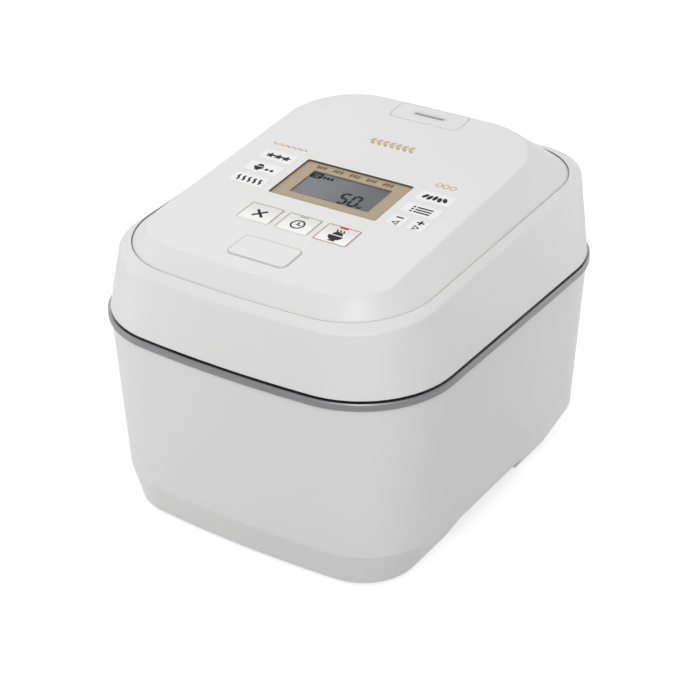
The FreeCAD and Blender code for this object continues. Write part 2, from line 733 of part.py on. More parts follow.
# Heights and places that several pieces share
SEAM = level("seam")
SKIRT = level("skirt")
BASE = level("base")
SHOULDER = level("shoulder")
LEDGE = level("ledge")
TOP = level("top")

tray_floor = d.foot_height + d.tray_wall
column_top = d.skirt_top + d.column_rise
deck_top = d.band_bottom + d.deck_thickness
pot_y = -d.pot_offset
pot_seat = d.band_bottom + d.pot_seat_height
pot_foot = pot_seat - d.pot_depth
pot_top = pot_seat + d.pot_rim_thickness
well_inner = d.pot_radius + d.well_gap
well_floor = pot_foot - d.well_gap
well_low = well_floor - d.well_wall
coil_top = well_low - d.slip
carrier_floor = coil_top - d.coil_height
carrier_low = carrier_floor - d.carrier_wall
holder_low = well_low - d.holder_depth
sensor_top = pot_foot - d.fit
sensor_under = sensor_top - d.sensor_head
board_y = d.fan_y
lid_low = d.band_top + d.lid_gap
hinge_y = d.overall_depth / 2 - d.band_proud - d.hinge_in
hinge_z = lid_low + d.hinge_rise
liner_low = lid_low + d.liner_rise
liner_top = liner_low + d.liner_wall
dome_under = liner_low + d.dome_height
dome_top = dome_under + d.liner_wall
latch_y = -d.latch_y
panel_under = -d.panel_wall
key_reach = d.key_lip_thickness + d.key_stem_length + d.key_travel
control_top = panel_under - key_reach - d.switch_height - 2 * d.fit
control_low = control_top - d.board_thickness
SIDES = (-1, 1)


def four_points(x, front_y, rear_y):
    """Four places, mirrored left to right."""
    return [(x * side, y) for side in SIDES for y in (-front_y, rear_y)]


COLUMNS = four_points(d.column_x, d.column_front_y, d.column_rear_y)
FEET = four_points(d.foot_x, d.foot_front_y, d.foot_rear_y)
DECK_BOSSES = four_points(d.deck_boss_x, d.deck_boss_front_y, d.deck_boss_rear_y)
LID_BOSSES = four_points(d.lid_boss_x, d.lid_boss_front_y, d.lid_boss_rear_y)
BOARD_POSTS = [(d.board_width / 2 * side - d.board_post_inset * side,
                board_y + (d.board_depth / 2 - d.board_post_inset) * end)
               for side in SIDES for end in SIDES]


def wall_webs(places, zs, solid):
    """Bosses with webs that reach sideways to the wall of a solid and stop at its face."""
    webs = []
    for x, y in places:
        outward = d.overall_width / 2 * (1 if x.value > 0 else -1)
        span = (x, outward) if x.value > 0 else (outward, x)
        web = block(span, (y - d.boss_radius / 2, y + d.boss_radius / 2), zs)
        webs.append(common(fuse(rod(x, y, zs, d.boss_radius), web), solid))
    return webs


def screws(places, under_head, tip):
    """Screws with their heads below (tip above) or above (tip below) the clamped face."""
    solids = []
    for x, y in places:
        down = tip.value < under_head.value
        head = (under_head, under_head + d.screw_head_height)
        shank = (tip, under_head)
        if not down:
            head = (under_head - d.screw_head_height, under_head)
            shank = (under_head, tip)
        solids.append(fuse(rod(x, y, head, d.screw_head_radius), rod(x, y, shank, d.screw_radius)))
    return group(*solids)


def screw_holes(places, zs):
    return [rod(x, y, zs, d.screw_radius + d.slip) for x, y in places]


# The base

def base_tray():
    solid = loft("tray_solid", (BASE, d.foot_height, None), (SKIRT, d.skirt_top, None))
    round_edges(solid, d.skirt_round,
                lambda edge: all(abs(v.Z - d.foot_height.value) < 0.01 for v in edge.Vertexes))
    hollow = loft("tray_hollow", (BASE.inset(d.tray_wall), tray_floor, None),
                  (SKIRT.inset(d.tray_wall), d.skirt_top, None))
    reach_in = BASE.half - d.recess_depth
    recess_walls, recesses = [], []
    for side in SIDES:
        inner, outer = (reach_in - d.tray_wall) * side, d.overall_width / 2 * side
        span = (inner, outer) if side > 0 else (outer, inner)
        wall = block(span, (-d.recess_front - d.recess_ramp, d.recess_rear + d.tray_wall),
                     (d.foot_height, d.recess_height + d.tray_wall))
        recess_walls.append(common(wall, solid))
        opening = (reach_in * side, outer) if side > 0 else (outer, reach_in * side)
        recesses.append(prism_x([(-d.recess_front - d.recess_ramp, 0), (d.recess_rear, 0),
                                 (d.recess_rear, d.recess_height), (-d.recess_front, d.recess_height)],
                                opening))
    columns = [rod(x, y, (d.foot_height, column_top), d.boss_radius) for x, y in COLUMNS]
    posts = [rod(x, y, (d.foot_height, d.board_height), d.board_post_radius) for x, y in BOARD_POSTS]
    ring = d.carrier_post_ring * math.sqrt(0.5)
    posts += [rod(ring * side, pot_y + ring * end, (d.foot_height, carrier_low), d.carrier_post_radius)
              for side in SIDES for end in SIDES]
    shell = fuse(cut(solid, hollow), *columns, *posts, *recess_walls)
    holes = screw_holes(COLUMNS, (0, column_top + d.fit))
    counterbores = [rod(x, y, (0, d.foot_height + d.column_head_depth), d.screw_head_radius + d.fit)
                    for x, y in COLUMNS]
    pockets = [rod(x, y, (0, d.foot_height + d.foot_seat), d.foot_radius + d.slip) for x, y in FEET]
    vents = []
    for i in range(int(d.vent_count.value)):
        y = d.fan_y + d.vent_pitch * (i - (d.vent_count - 1) / 2)
        vents.append(block((-d.vent_length / 2, d.vent_length / 2),
                           (y - d.vent_width / 2, y + d.vent_width / 2), (0, tray_floor + d.fit)))
    node("base_tray", cut(shell, *recesses, *holes, *counterbores, *pockets, *vents))
    node("feet", group(*[rod(x, y, (0, d.foot_height + d.foot_seat), d.foot_radius) for x, y in FEET]))
    node("base_screws", screws(COLUMNS, d.foot_height + d.column_head_depth, column_top + d.lug_height / 2))


def outer_casing():
    solid = loft("casing_solid", (SKIRT, d.skirt_top, None), (SEAM, d.band_bottom, None))
    hollow = loft("casing_hollow", (SKIRT.inset(d.casing_wall), d.skirt_top, None),
                  (SEAM.inset(d.casing_wall), d.band_bottom, None))
    lugs = wall_webs(COLUMNS, (column_top, column_top + d.lug_height), solid)
    boss_low = d.band_bottom - d.deck_boss_height
    bosses = wall_webs(DECK_BOSSES, (boss_low, d.band_bottom), solid)
    shell = fuse(cut(solid, hollow), *lugs, *bosses)
    rear = d.overall_depth / 2
    openings = screw_holes(COLUMNS, (column_top - d.fit, column_top + d.lug_height + d.fit))
    openings += screw_holes(DECK_BOSSES, (boss_low - d.fit, d.band_bottom + d.fit))
    openings.append(rear_rod(d.outlet_x, (rear - 3 * d.overall_depth / 20, rear), d.outlet_z,
                             d.outlet_radius + d.slip))
    for i in range(int(d.vent_count.value)):
        x = d.vent_pitch * (i - (d.vent_count - 1) / 2)
        openings.append(block((x - d.vent_width / 2, x + d.vent_width / 2), (rear - rear / 5, rear),
                              (d.rear_vent_low, d.rear_vent_low + d.rear_vent_height)))
    node("outer_casing", cut(shell, *openings))

    flange_rear = SKIRT.rear + d.outlet_proud + (SEAM.rear - SKIRT.rear) / 4
    flange = cut(rear_rod(d.outlet_x, (flange_rear - 4 * d.outlet_proud, flange_rear), d.outlet_z,
                          d.outlet_flange), solid)
    sleeve = rear_rod(d.outlet_x, (flange_rear - 5 * d.outlet_proud, flange_rear), d.outlet_z,
                      d.outlet_radius)
    bore = rear_rod(d.outlet_x, (flange_rear - 6 * d.outlet_proud, flange_rear + d.fit), d.outlet_z,
                    d.outlet_bore)
    node("cord_outlet", cut(fuse(flange, sleeve), bore))


def trim_band():
    face = SEAM.inset(-d.band_proud)
    edge = face.inset(d.band_round)
    ring = loft("band_solid", (edge, d.band_bottom, None), (face, d.band_bottom + d.band_round, None),
                (face, d.band_top - d.band_round, None), (edge, d.band_top, None))
    bore = plate("band_bore", SEAM.inset(d.deck_inset - d.slip),
                 (d.band_bottom - d.fit, d.band_top + d.fit))
    node("trim_band", cut(ring, bore))


def upper_frame():
    rim_top = d.band_bottom + d.deck_rim_height
    deck = plate("deck_solid", SEAM.inset(d.deck_inset), (d.band_bottom, rim_top))
    tray = plate("deck_hollow", SEAM.inset(d.deck_inset + d.deck_rim), (deck_top, rim_top + d.fit))
    seat = rod(0, pot_y, (d.band_bottom, pot_seat), well_inner + d.pot_seat_width)
    opening = rod(0, pot_y, (d.band_bottom - d.fit, pot_seat + d.fit), well_inner)
    slot_half = d.latch_half_width + d.pot_rim_thickness
    slot = block((-slot_half, slot_half), (-d.catch_edge - d.catch_slot, -d.catch_edge),
                 (d.band_bottom - d.fit, rim_top + d.fit))
    holes = screw_holes(DECK_BOSSES, (d.band_bottom - d.fit, rim_top))
    node("upper_frame", cut(fuse(cut(deck, tray), seat), opening, slot, *holes))
    node("frame_screws", screws(DECK_BOSSES, deck_top, d.band_bottom - d.deck_boss_height * 0.8))
    node("latch_catch", block((-slot_half, slot_half), (-d.catch_edge, d.catch_depth - d.catch_edge),
                              (deck_top, deck_top + d.catch_thickness)))


def pot_and_well():
    foot = d.pot_radius - d.pot_taper
    inner = d.pot_radius - d.pot_wall
    pot = turned("inner_pot", [
        (0, pot_foot), (foot, pot_foot), (d.pot_radius, pot_seat),
        (d.pot_radius + d.pot_rim_width, pot_seat), (d.pot_radius + d.pot_rim_width, pot_top),
        (inner, pot_top), (foot - d.pot_wall, pot_foot + d.pot_wall), (0, pot_foot + d.pot_wall),
    ], 0, pot_y)

    def floor_edge(radius, height):
        def chosen(edge):
            curve = edge.Curve
            return (isinstance(curve, Part.Circle) and abs(curve.Radius - radius.value) < 0.01
                    and abs(curve.Center.z - height.value) < 0.01)
        return chosen

    round_edges(pot, d.pot_round, floor_edge(foot, pot_foot))
    round_edges(pot, d.pot_round - d.pot_wall, floor_edge(foot - d.pot_wall, pot_foot + d.pot_wall))
    node("inner_pot", pot)

    outer = well_inner + d.well_wall
    flange_low = d.band_bottom - d.well_wall
    well = turned("pot_well", [
        (d.well_hole, well_low), (outer, well_low), (outer, flange_low),
        (outer + d.well_flange, flange_low), (outer + d.well_flange, d.band_bottom),
        (well_inner, d.band_bottom), (well_inner, well_floor), (d.well_hole, well_floor),
    ], 0, pot_y)
    round_edges(well, d.well_round, floor_edge(outer, well_low))
    round_edges(well, d.well_round - d.well_wall, floor_edge(well_inner, well_floor))
    node("pot_well", well)
    heater = (well_floor + d.heater_above, well_floor + d.heater_above + d.heater_height)
    node("side_heater", cut(rod(0, pot_y, heater, outer + d.slip + d.heater_thickness),
                            rod(0, pot_y, heater, outer + d.slip)))


def induction_heater():
    outer = d.coil_outer + d.carrier_wall + d.fit
    holder_outer = d.well_hole + d.holder_wall
    dish = rod(0, pot_y, (carrier_low, coil_top), outer)
    room = rod(0, pot_y, (carrier_floor, coil_top), d.coil_outer + d.fit)
    hub = rod(0, pot_y, (carrier_floor, coil_top), d.coil_inner - d.fit)
    bore = rod(0, pot_y, (carrier_low, coil_top), holder_outer + d.slip)
    node("coil_carrier", cut(dish, cut(room, hub), bore))
    coil = (carrier_floor, coil_top)
    node("induction_coil", cut(rod(0, pot_y, coil, d.coil_outer), rod(0, pot_y, coil, d.coil_inner)))
    bars = []
    for i in range(int(d.ferrite_count.value)):
        bar = DOC.addObject("Part::Box", "bar")
        bar.Placement = FreeCAD.Placement(V(), FreeCAD.Rotation(V(0, 0, 1), 360 * i / d.ferrite_count.value))
        bind(bar, Length=d.coil_outer, Width=d.ferrite_width, Height=d.ferrite_height)
        bars.append(place(bar, 0, pot_y, carrier_low - d.ferrite_height))
    core = rod(0, pot_y, (holder_low, carrier_low), d.coil_inner)
    node("ferrite_bars", cut(fuse(*bars), core))

    room = d.well_hole
    holder = turned("sensor_holder", [
        (d.sensor_stem + d.fit, holder_low), (holder_outer, holder_low), (holder_outer, well_low),
        (room, well_low), (room, holder_low + d.holder_wall),
        (d.sensor_stem + d.fit, holder_low + d.holder_wall),
    ], 0, pot_y)
    node("sensor_holder", holder)
    node("centre_sensor", fuse(rod(0, pot_y, (sensor_under, sensor_top), d.sensor_radius),
                               rod(0, pot_y, (holder_low - d.fit, sensor_under), d.sensor_stem)))
    spring_low = holder_low + d.holder_wall
    coil_radius = (d.sensor_radius + d.sensor_stem) / 2
    length = sensor_under - spring_low - 2 * d.slip
    wire_spring = spring(coil_radius.value, d.sensor_wire.value, d.sensor_turns.value, length.value)
    node("sensor_spring", place(wire_spring, 0, pot_y, spring_low + d.slip))


def electronics():
    half = d.board_width / 2
    board = (d.board_height, d.board_height + d.board_thickness)
    deep = d.board_depth / 2
    node("power_board", block((-half, half), (board_y - deep, board_y + deep), board))
    low = board[1]
    choke_x, relay_x = half / 2, half - d.relay_size
    node("board_parts", group(
        rod(-half / 2, board_y, (low, low + d.capacitor_height), d.capacitor_radius),
        block((choke_x - d.choke_size, choke_x), (board_y - d.choke_size / 2, board_y + d.choke_size / 2),
              (low, low + d.choke_size)),
        block((relay_x - d.relay_size / 2, relay_x + d.relay_size / 2),
              (board_y - d.relay_size / 2, board_y + d.relay_size / 2), (low, low + d.relay_size))))
    wide, deep = d.sink_width / 2, d.sink_depth / 2
    ys = (board_y - deep, board_y + deep)
    sink_low = d.board_height - d.sink_base
    fins = [block((-wide, wide), ys, (sink_low, d.board_height))]
    for i in range(int(d.sink_fin_count.value)):
        x = (d.sink_width - d.sink_fin) * (sized(i) / (d.sink_fin_count - 1)) - wide
        fins.append(block((x, x + d.sink_fin), ys, (sink_low - d.sink_fin_height, sink_low)))
    node("heat_sink", fuse(*fins))


def fan():
    half = d.fan_size / 2
    low, high = tray_floor, tray_floor + d.fan_height
    frame = cut(block((-half, half), (d.fan_y - half, d.fan_y + half), (low, high)),
                rod(0, d.fan_y, (low - d.fit, high + d.fit), d.fan_bore))
    spoke = d.vent_width / 2
    spokes = [block((-half, half), (d.fan_y - spoke, d.fan_y + spoke), (low, low + d.board_thickness)),
              block((-spoke, spoke), (d.fan_y - half, d.fan_y + half), (low, low + d.board_thickness))]
    boss_top = low + 2 * d.board_thickness
    boss = rod(0, d.fan_y, (low, boss_top), d.fan_hub / 2)
    pin = rod(0, d.fan_y, (low, high - 2 * d.board_thickness), d.fan_pin)
    node("fan_housing", fuse(frame, *spokes, boss, pin))

    rotor_low, rotor_high = boss_top + d.fit, high - d.fit
    hub = rod(0, d.fan_y, (rotor_low, rotor_high), d.fan_hub)
    blades = []
    for i in range(int(d.blade_count.value)):
        blade = DOC.addObject("Part::Box", "blade")
        turn = FreeCAD.Rotation(V(0, 0, 1), 360 * i / d.blade_count.value)
        blade.Placement = FreeCAD.Placement(V(), turn * FreeCAD.Rotation(V(1, 0, 0), d.blade_pitch.value))
        bind(blade, Length=d.fan_bore - 2 * d.fit, Width=d.blade_thickness,
             Height=rotor_high - rotor_low - d.blade_thickness)
        blades.append(place(blade, 0, d.fan_y, rotor_low))
    sweep = rod(0, d.fan_y, (rotor_low, rotor_high), d.fan_bore - d.fit)
    bore = rod(0, d.fan_y, (rotor_low - d.fit, high - 2 * d.board_thickness + d.fit), d.fan_pin + d.slip)
    node("fan_rotor", cut(fuse(hub, common(fuse(*blades), sweep)), bore))


def hinge():
    ear_outer = d.ear_inner + d.ear_thickness
    foot_front = hinge_y - d.ear_radius - d.bracket_depth / 2
    ear_rear = SEAM.rear - d.deck_inset - d.deck_rim - 2 * d.fit
    foot = (deck_top, deck_top + d.bracket_thickness)
    parts = [block((-ear_outer, ear_outer), (foot_front, ear_rear), foot)]
    for side in SIDES:
        xs = (d.ear_inner, ear_outer) if side > 0 else (-ear_outer, -d.ear_inner)
        parts.append(block(xs, (hinge_y - d.ear_radius, ear_rear), (deck_top, hinge_z)))
        parts.append(cross_rod(xs, hinge_y, hinge_z, d.ear_radius))
    bore = cross_rod((-ear_outer, ear_outer), hinge_y, hinge_z, d.hinge_shaft_radius)
    node("hinge_bracket", cut(fuse(*parts), bore))
    node("hinge_shaft", cross_rod((-d.hinge_shaft_half, d.hinge_shaft_half), hinge_y, hinge_z,
                                  d.hinge_shaft_radius))
    coils = []
    radius = d.hinge_shaft_radius + d.fit + d.hinge_wire / 2
    length = d.hinge_turns * (d.hinge_wire + 2 * d.fit) + d.hinge_wire
    for side in SIDES:
        coil = spring(radius.value, d.hinge_wire.value, d.hinge_turns.value, length.value)
        coil.Placement = FreeCAD.Placement(V(), FreeCAD.Rotation(V(0, 1, 0), 90))
        start = d.ear_inner - 4 * d.fit - length if side > 0 else 4 * d.fit - d.ear_inner
        coils.append(place(coil, start, hinge_y, hinge_z))
    node("hinge_springs", group(*coils))

    arm_inner = ear_outer + 2 * d.fit
    barrel_half = d.ear_inner - 2 * d.fit
    arms = []
    end = d.hinge_shaft_half
    for xs in ((-end, -arm_inner), (-barrel_half, barrel_half), (arm_inner, end)):
        arm = fuse(block(xs, (hinge_y - d.arm_length, hinge_y), (liner_top, liner_top + d.arm_thickness)),
                   cross_rod(xs, hinge_y, hinge_z, d.ear_radius))
        arms.append(cut(arm, cross_rod(xs, hinge_y, hinge_z, d.hinge_shaft_radius + d.slip)))
    spring_half = barrel_half - d.fit
    arms[1] = cut(arms[1], cross_rod((-spring_half, spring_half), hinge_y, hinge_z, d.barrel_bore))
    node("hinge_arms", group(*arms))


# The lid

def lid_shell():
    solid = loft("lid_solid", (SEAM, lid_low, None), (SHOULDER, d.shoulder_height, d.rim_tilt),
                 (LEDGE, d.ledge_height, d.rim_tilt))
    round_edges(solid, d.shoulder_round, lambda edge: all(
        abs(v.Z - d.shoulder_height.value - rise(v.Y, d.rim_tilt).value) < 0.01 for v in edge.Vertexes))
    ledge_low = d.ledge_height - d.ledge_thickness
    inner_shoulder = d.shoulder_height - d.ledge_thickness
    hollow = loft("lid_hollow", (SEAM.inset(d.lid_wall), lid_low, None),
                  (SHOULDER.inset(d.lid_wall), inner_shoulder, d.rim_tilt),
                  (LEDGE.inset(d.ledge_width), ledge_low, d.rim_tilt))
    mouth = plate("lid_mouth", LEDGE.inset(d.ledge_width), (ledge_low - d.fit, d.ledge_height + d.fit),
                  d.rim_tilt)
    rebate = plate("lid_rebate", LEDGE.inset(d.rebate_edge),
                   (d.ledge_height - d.rebate_depth, d.ledge_height + d.fit), d.rim_tilt)
    bosses = wall_webs(LID_BOSSES, (liner_top, liner_top + d.lid_boss_height), solid)
    notch_half = d.hinge_shaft_half + 2 * d.fit
    notch = block((-notch_half, notch_half), (hinge_y - d.ear_radius, d.overall_depth / 2),
                  (lid_low - d.fit, hinge_z + d.ear_radius + 2 * d.fit))
    holes = screw_holes(LID_BOSSES, (liner_top - d.fit, liner_top + d.lid_boss_height + d.fit))
    node("lid_shell", cut(fuse(cut(solid, hollow, mouth, rebate), *bosses), notch, *holes))


def lid_liner():
    sheet = plate("liner_sheet", SEAM.inset(d.liner_inset), (liner_low, liner_top))
    dome = rod(0, pot_y, (liner_low, dome_top), d.dome_radius + d.liner_wall)
    room = rod(0, pot_y, (liner_low - d.fit, dome_under), d.dome_radius)
    ear_inner = d.latch_half_width + d.latch_ear_gap
    pivots = []
    for side in SIDES:
        xs = (ear_inner, ear_inner + d.latch_ear) if side > 0 else (-ear_inner - d.latch_ear, -ear_inner)
        pivots.append(block(xs, (latch_y - d.latch_barrel, latch_y + d.latch_barrel),
                            (liner_low, d.latch_z + d.latch_barrel)))
    slot_half = d.latch_half_width + d.pot_rim_thickness
    slot = block((-slot_half, slot_half), (-d.catch_edge - d.catch_slot, d.fit - d.catch_edge),
                 (liner_low - d.fit, liner_top + d.fit))
    half = d.hinge_shaft_half + d.fit
    hinge_room = block((-half, half), (hinge_y - d.ear_radius - d.fit, d.overall_depth / 2),
                       (liner_low - d.fit, liner_top + d.fit))
    pin_bore = cross_rod((-ear_inner - d.latch_ear, ear_inner + d.latch_ear), latch_y, d.latch_z,
                         d.latch_pin_radius)
    steam = rod(0, d.steam_hole_y, (dome_under - d.fit, dome_top + d.fit), d.steam_hole)
    holes = screw_holes(LID_BOSSES, (liner_low - d.fit, liner_top + d.fit))
    node("lid_liner", cut(fuse(sheet, dome, *pivots), room, slot, hinge_room, pin_bore, steam, *holes))
    node("lid_screws", screws(LID_BOSSES, liner_low, liner_top + d.lid_boss_height * 0.7))
    heater = (dome_under - d.lid_heater_thickness, dome_under)
    node("lid_heater", cut(rod(0, pot_y, heater, d.lid_heater_radius),
                           rod(0, d.steam_hole_y, heater, d.steam_hole + d.fit)))

    low = pot_top + d.inner_lid_rise
    lid = (low, low + d.inner_lid_thickness)
    steam_hole = rod(0, d.steam_hole_y, lid, d.steam_hole / 2)
    node("inner_lid", cut(rod(0, pot_y, lid, d.inner_lid_radius), steam_hole))
    seal = (pot_top + d.fit, pot_top + d.fit + d.gasket_height)
    node("inner_lid_gasket", cut(rod(0, pot_y, seal, d.dome_radius - d.fit),
                                 rod(0, pot_y, seal, d.inner_lid_radius + d.slip)))


def panel_key_places():
    """Name, width, depth and centre of every key on the sloping top."""
    places = []
    for column, name in enumerate(("key_cancel", "key_timer", "key_cook")):
        places.append((name, d.key_width, d.key_depth, d.key_pitch * (column - 1), -d.key_y))
    for row in range(3):
        y = -d.display_y + d.side_key_pitch * (1 - row)
        places.append((f"key_left_{row + 1}", d.side_key_width, d.side_key_depth, -d.side_key_x, y))
        if row < 2:
            places.append((f"key_right_{row + 1}", d.side_key_width, d.side_key_depth, d.side_key_x, y))
    for side, name in zip(SIDES, ("key_back", "key_next")):
        x = d.side_key_x + d.arrow_key_pitch / 2 * side
        places.append((name, d.arrow_key_width, d.side_key_depth, x, -d.display_y - d.side_key_pitch))
    return places


def top_panel():
    low = d.ledge_height - d.rebate_depth
    edge = LEDGE.inset(d.rebate_edge + d.panel_seam)
    solid = loft("panel_solid", (edge, low, d.rim_tilt), (TOP, d.top_height, d.panel_tilt))
    round_edges(solid, d.crease_round, lambda curve: all(
        abs(v.Z - d.top_height.value - rise(v.Y, d.panel_tilt).value) < 0.01 for v in curve.Vertexes))
    hollow = loft("panel_hollow", (edge.inset(d.bevel_wall), low, d.rim_tilt),
                  (TOP.inset(d.bevel_wall), d.top_height - d.panel_wall, d.panel_tilt))
    through = (panel_under - d.fit, d.crease_round)
    holes = [rounded(d.display_width, d.display_depth, d.display_corner, through, 0, -d.display_y),
             rounded(d.button_width + 2 * d.button_gap, d.button_depth + 2 * d.button_gap,
                     d.button_corner + d.button_gap, through, 0, -d.button_y)]
    holes += [rounded(width + 2 * d.fit, depth + 2 * d.fit, d.key_corner + d.fit, through, x, y)
              for _, width, depth, x, y in panel_key_places()]
    cap_y = d.cap_front_y + d.cap_depth / 2
    holes.append(rounded(d.cap_width + 2 * d.fit, d.cap_depth + 2 * d.fit, d.cap_corner + d.fit,
                         (-d.cap_thickness, d.crease_round), 0, cap_y))
    holes.append(rounded(d.cap_width - 2 * d.cap_ledge, d.cap_depth - 2 * d.cap_ledge,
                         d.cap_corner - d.cap_ledge, through, 0, cap_y))
    post_x = d.control_width / 2 - d.control_post
    posts = [rod(post_x * side, y, (control_top, panel_under + d.fit), d.control_post)
             for side in SIDES for y in (d.control_post - d.control_front, d.control_rear - d.control_post)]
    shell = fuse(cut(solid, hollow), *[on_panel(post) for post in map(group, posts)])
    node("top_panel", cut(shell, *[on_panel(group(hole)) for hole in holes]))


def display():
    under = panel_under - d.bezel_thickness
    frame = rounded(d.display_width + 2 * d.bezel_overlap, d.display_depth + 2 * d.bezel_overlap,
                    d.display_corner + d.bezel_overlap, (under, panel_under), 0, -d.display_y)
    face = rounded(d.display_width - 2 * d.slip, d.display_depth - 2 * d.slip, d.display_corner,
                   (under, -d.bezel_sunk), 0, -d.display_y)
    window_y = -d.display_y - d.window_shift
    opening = block((-d.window_width / 2, d.window_width / 2),
                    (window_y - d.window_depth / 2, window_y + d.window_depth / 2), (under, -d.bezel_sunk))
    node("display_bezel", on_panel(cut(fuse(frame, face), opening)))
    half = d.window_width / 2 - d.slip
    deep = d.window_depth / 2 - d.slip
    glass_top = -d.bezel_sunk - d.fit
    glass_low = glass_top - d.window_thickness
    node("display_window", on_panel(group(block(
        (-half, half), (window_y - deep, window_y + deep), (glass_low, glass_top)))))
    node("lcd_module", on_panel(group(block(
        (-half, half), (window_y - deep, window_y + deep), (control_top, glass_low)))))
    board_half = d.control_width / 2
    node("control_board", on_panel(group(block(
        (-board_half, board_half), (-d.control_front, d.control_rear), (control_low, control_top)))))


def keys():
    switches = []
    lip_top = panel_under - d.fit
    lip_low = lip_top - d.key_lip_thickness
    for name, width, depth, x, y in panel_key_places():
        cap = rounded(width, depth, d.key_corner, (lip_low, d.key_proud), x, y)
        lip = rounded(width + 2 * d.key_lip, depth + 2 * d.key_lip, d.key_corner + d.key_lip,
                      (lip_low, lip_top), x, y)
        stem = rod(x, y, (lip_low - d.key_stem_length, lip_low), d.key_stem)
        node(name, on_panel(fuse(cap, lip, stem)))
        half = d.switch_size / 2
        switches.append(block((x - half, x + half), (y - half, y + half),
                              (control_top, control_top + d.switch_height)))
    node("tact_switches", on_panel(group(*switches)))


def lid_release():
    lip_top = panel_under - d.fit
    lip_low = lip_top - d.key_lip_thickness
    cap = rounded(d.button_width, d.button_depth, d.button_corner, (lip_low, d.button_proud), 0, -d.button_y)
    lip = rounded(d.button_width + 2 * d.key_lip, d.button_depth + 2 * d.key_lip,
                  d.button_corner + d.key_lip, (lip_low, lip_top), 0, -d.button_y)
    stem_low = lip_low - d.button_stem_length
    stem = block((-d.button_stem_width / 2, d.button_stem_width / 2),
                 (-d.button_stem_y - d.button_stem_depth / 2, d.button_stem_depth / 2 - d.button_stem_y),
                 (stem_low, lip_low))
    node("release_button", on_panel(fuse(cap, lip, stem)))

    half = d.latch_half_width
    tilt = math.radians(d.panel_tilt.value)
    sine, cosine = (Size(f(tilt), f"{f.__name__}({d.panel_tilt.text} * 1 deg)") for f in (math.sin, math.cos))
    stem_front = -d.button_stem_y - d.button_stem_depth / 2
    arm_top = d.top_height + stem_front * sine + stem_low * cosine - d.latch_clear
    arm_end = -d.button_stem_y * cosine - stem_low * sine + d.button_stem_depth
    nose_tip = -d.catch_edge - d.latch_clear
    plate_rear = nose_tip - d.latch_nose
    hook_low = d.band_bottom - d.latch_clear - d.latch_nose_height
    lever = fuse(cross_rod((-half, half), latch_y, d.latch_z, d.latch_barrel),
                 block((-half, half), (latch_y, arm_end), (arm_top - d.latch_arm, arm_top)),
                 block((-half, half), (plate_rear - d.latch_plate, plate_rear), (hook_low, d.latch_z)),
                 block((-half, half), (plate_rear, nose_tip), (hook_low, hook_low + d.latch_nose_height)))
    bore = cross_rod((-half, half), latch_y, d.latch_z, d.latch_pin_radius + d.slip)
    node("latch_lever", cut(lever, bore))
    pin_half = half + d.latch_ear_gap + d.latch_ear
    node("latch_pin", cross_rod((-pin_half, pin_half), latch_y, d.latch_z, d.latch_pin_radius))
    radius = d.latch_pin_radius + d.fit + d.latch_wire / 2
    length = d.latch_ear_gap - 2 * d.fit
    coil = spring(radius.value, d.latch_wire.value, d.latch_turns.value, length.value)
    coil.Placement = FreeCAD.Placement(V(), FreeCAD.Rotation(V(0, 1, 0), 90))
    node("latch_spring", place(coil, half + d.fit, latch_y, d.latch_z))


def steam_way():
    cap_y = d.cap_front_y + d.cap_depth / 2
    slot = rounded(d.cap_slot_width, d.cap_slot_depth, d.cap_slot_depth * 0.49,
                   (-d.cap_thickness, 0), 0, cap_y)
    cap = rounded(d.cap_width, d.cap_depth, d.cap_corner, (-d.cap_thickness, 0), 0, cap_y)
    node("steam_cap", on_panel(cut(cap, slot)))
    wide = d.cap_width - 2 * d.cap_ledge - 2 * d.fit
    deep = d.cap_depth - 2 * d.cap_ledge - 2 * d.fit
    corner = d.cap_corner - d.cap_ledge - d.fit
    floor = -d.cap_thickness - d.cup_depth
    shell = rounded(wide, deep, corner, (floor, -d.cap_thickness), 0, cap_y)
    room = rounded(wide - 2 * d.cup_wall, deep - 2 * d.cup_wall, corner - d.cup_wall,
                   (floor + d.cup_wall, -d.cap_thickness), 0, cap_y)
    nozzle = rod(0, cap_y, (floor - d.nozzle_length, floor), d.nozzle_radius)
    bore = rod(0, cap_y, (floor - d.nozzle_length, floor + d.cup_wall), d.nozzle_radius - d.cup_wall)
    node("steam_cup", on_panel(cut(fuse(shell, nozzle), room, bore)))
    ring = (floor - d.nozzle_length / 2, floor)
    packing = d.duct_radius - d.duct_wall - 2 * d.fit
    hole = rod(0, cap_y, ring, d.nozzle_radius + d.slip)
    node("cap_packing", on_panel(cut(rod(0, cap_y, ring, packing), hole)))

    duct_y = cap_y - rise(floor, d.panel_tilt)
    tube_top = d.top_height + rise(duct_y, d.panel_tilt) + floor - d.duct_radius / 4 - d.fit
    flat_top = dome_top + d.duct_height
    wide, wall = d.duct_width / 2, d.duct_wall
    front = d.steam_hole_y - d.steam_hole - 2 * wall
    body = fuse(block((-wide, wide), (front, duct_y + d.duct_radius), (dome_top, flat_top)),
                rod(0, duct_y, (dome_top, tube_top), d.duct_radius))
    room = fuse(block((wall - wide, wide - wall), (front + wall, duct_y + d.duct_radius - wall),
                      (dome_top + wall, flat_top - wall)),
                rod(0, duct_y, (dome_top + wall, tube_top + d.fit), d.duct_radius - wall),
                rod(0, d.steam_hole_y, (dome_top - d.fit, flat_top - wall), d.steam_hole))
    node("steam_duct", cut(body, room))
    seal = (dome_top - d.liner_wall - d.inner_lid_rise, dome_under - d.lid_heater_thickness)
    node("duct_seal", cut(rod(0, d.steam_hole_y, seal, d.steam_hole),
                          rod(0, d.steam_hole_y, seal, d.steam_hole / 2)))


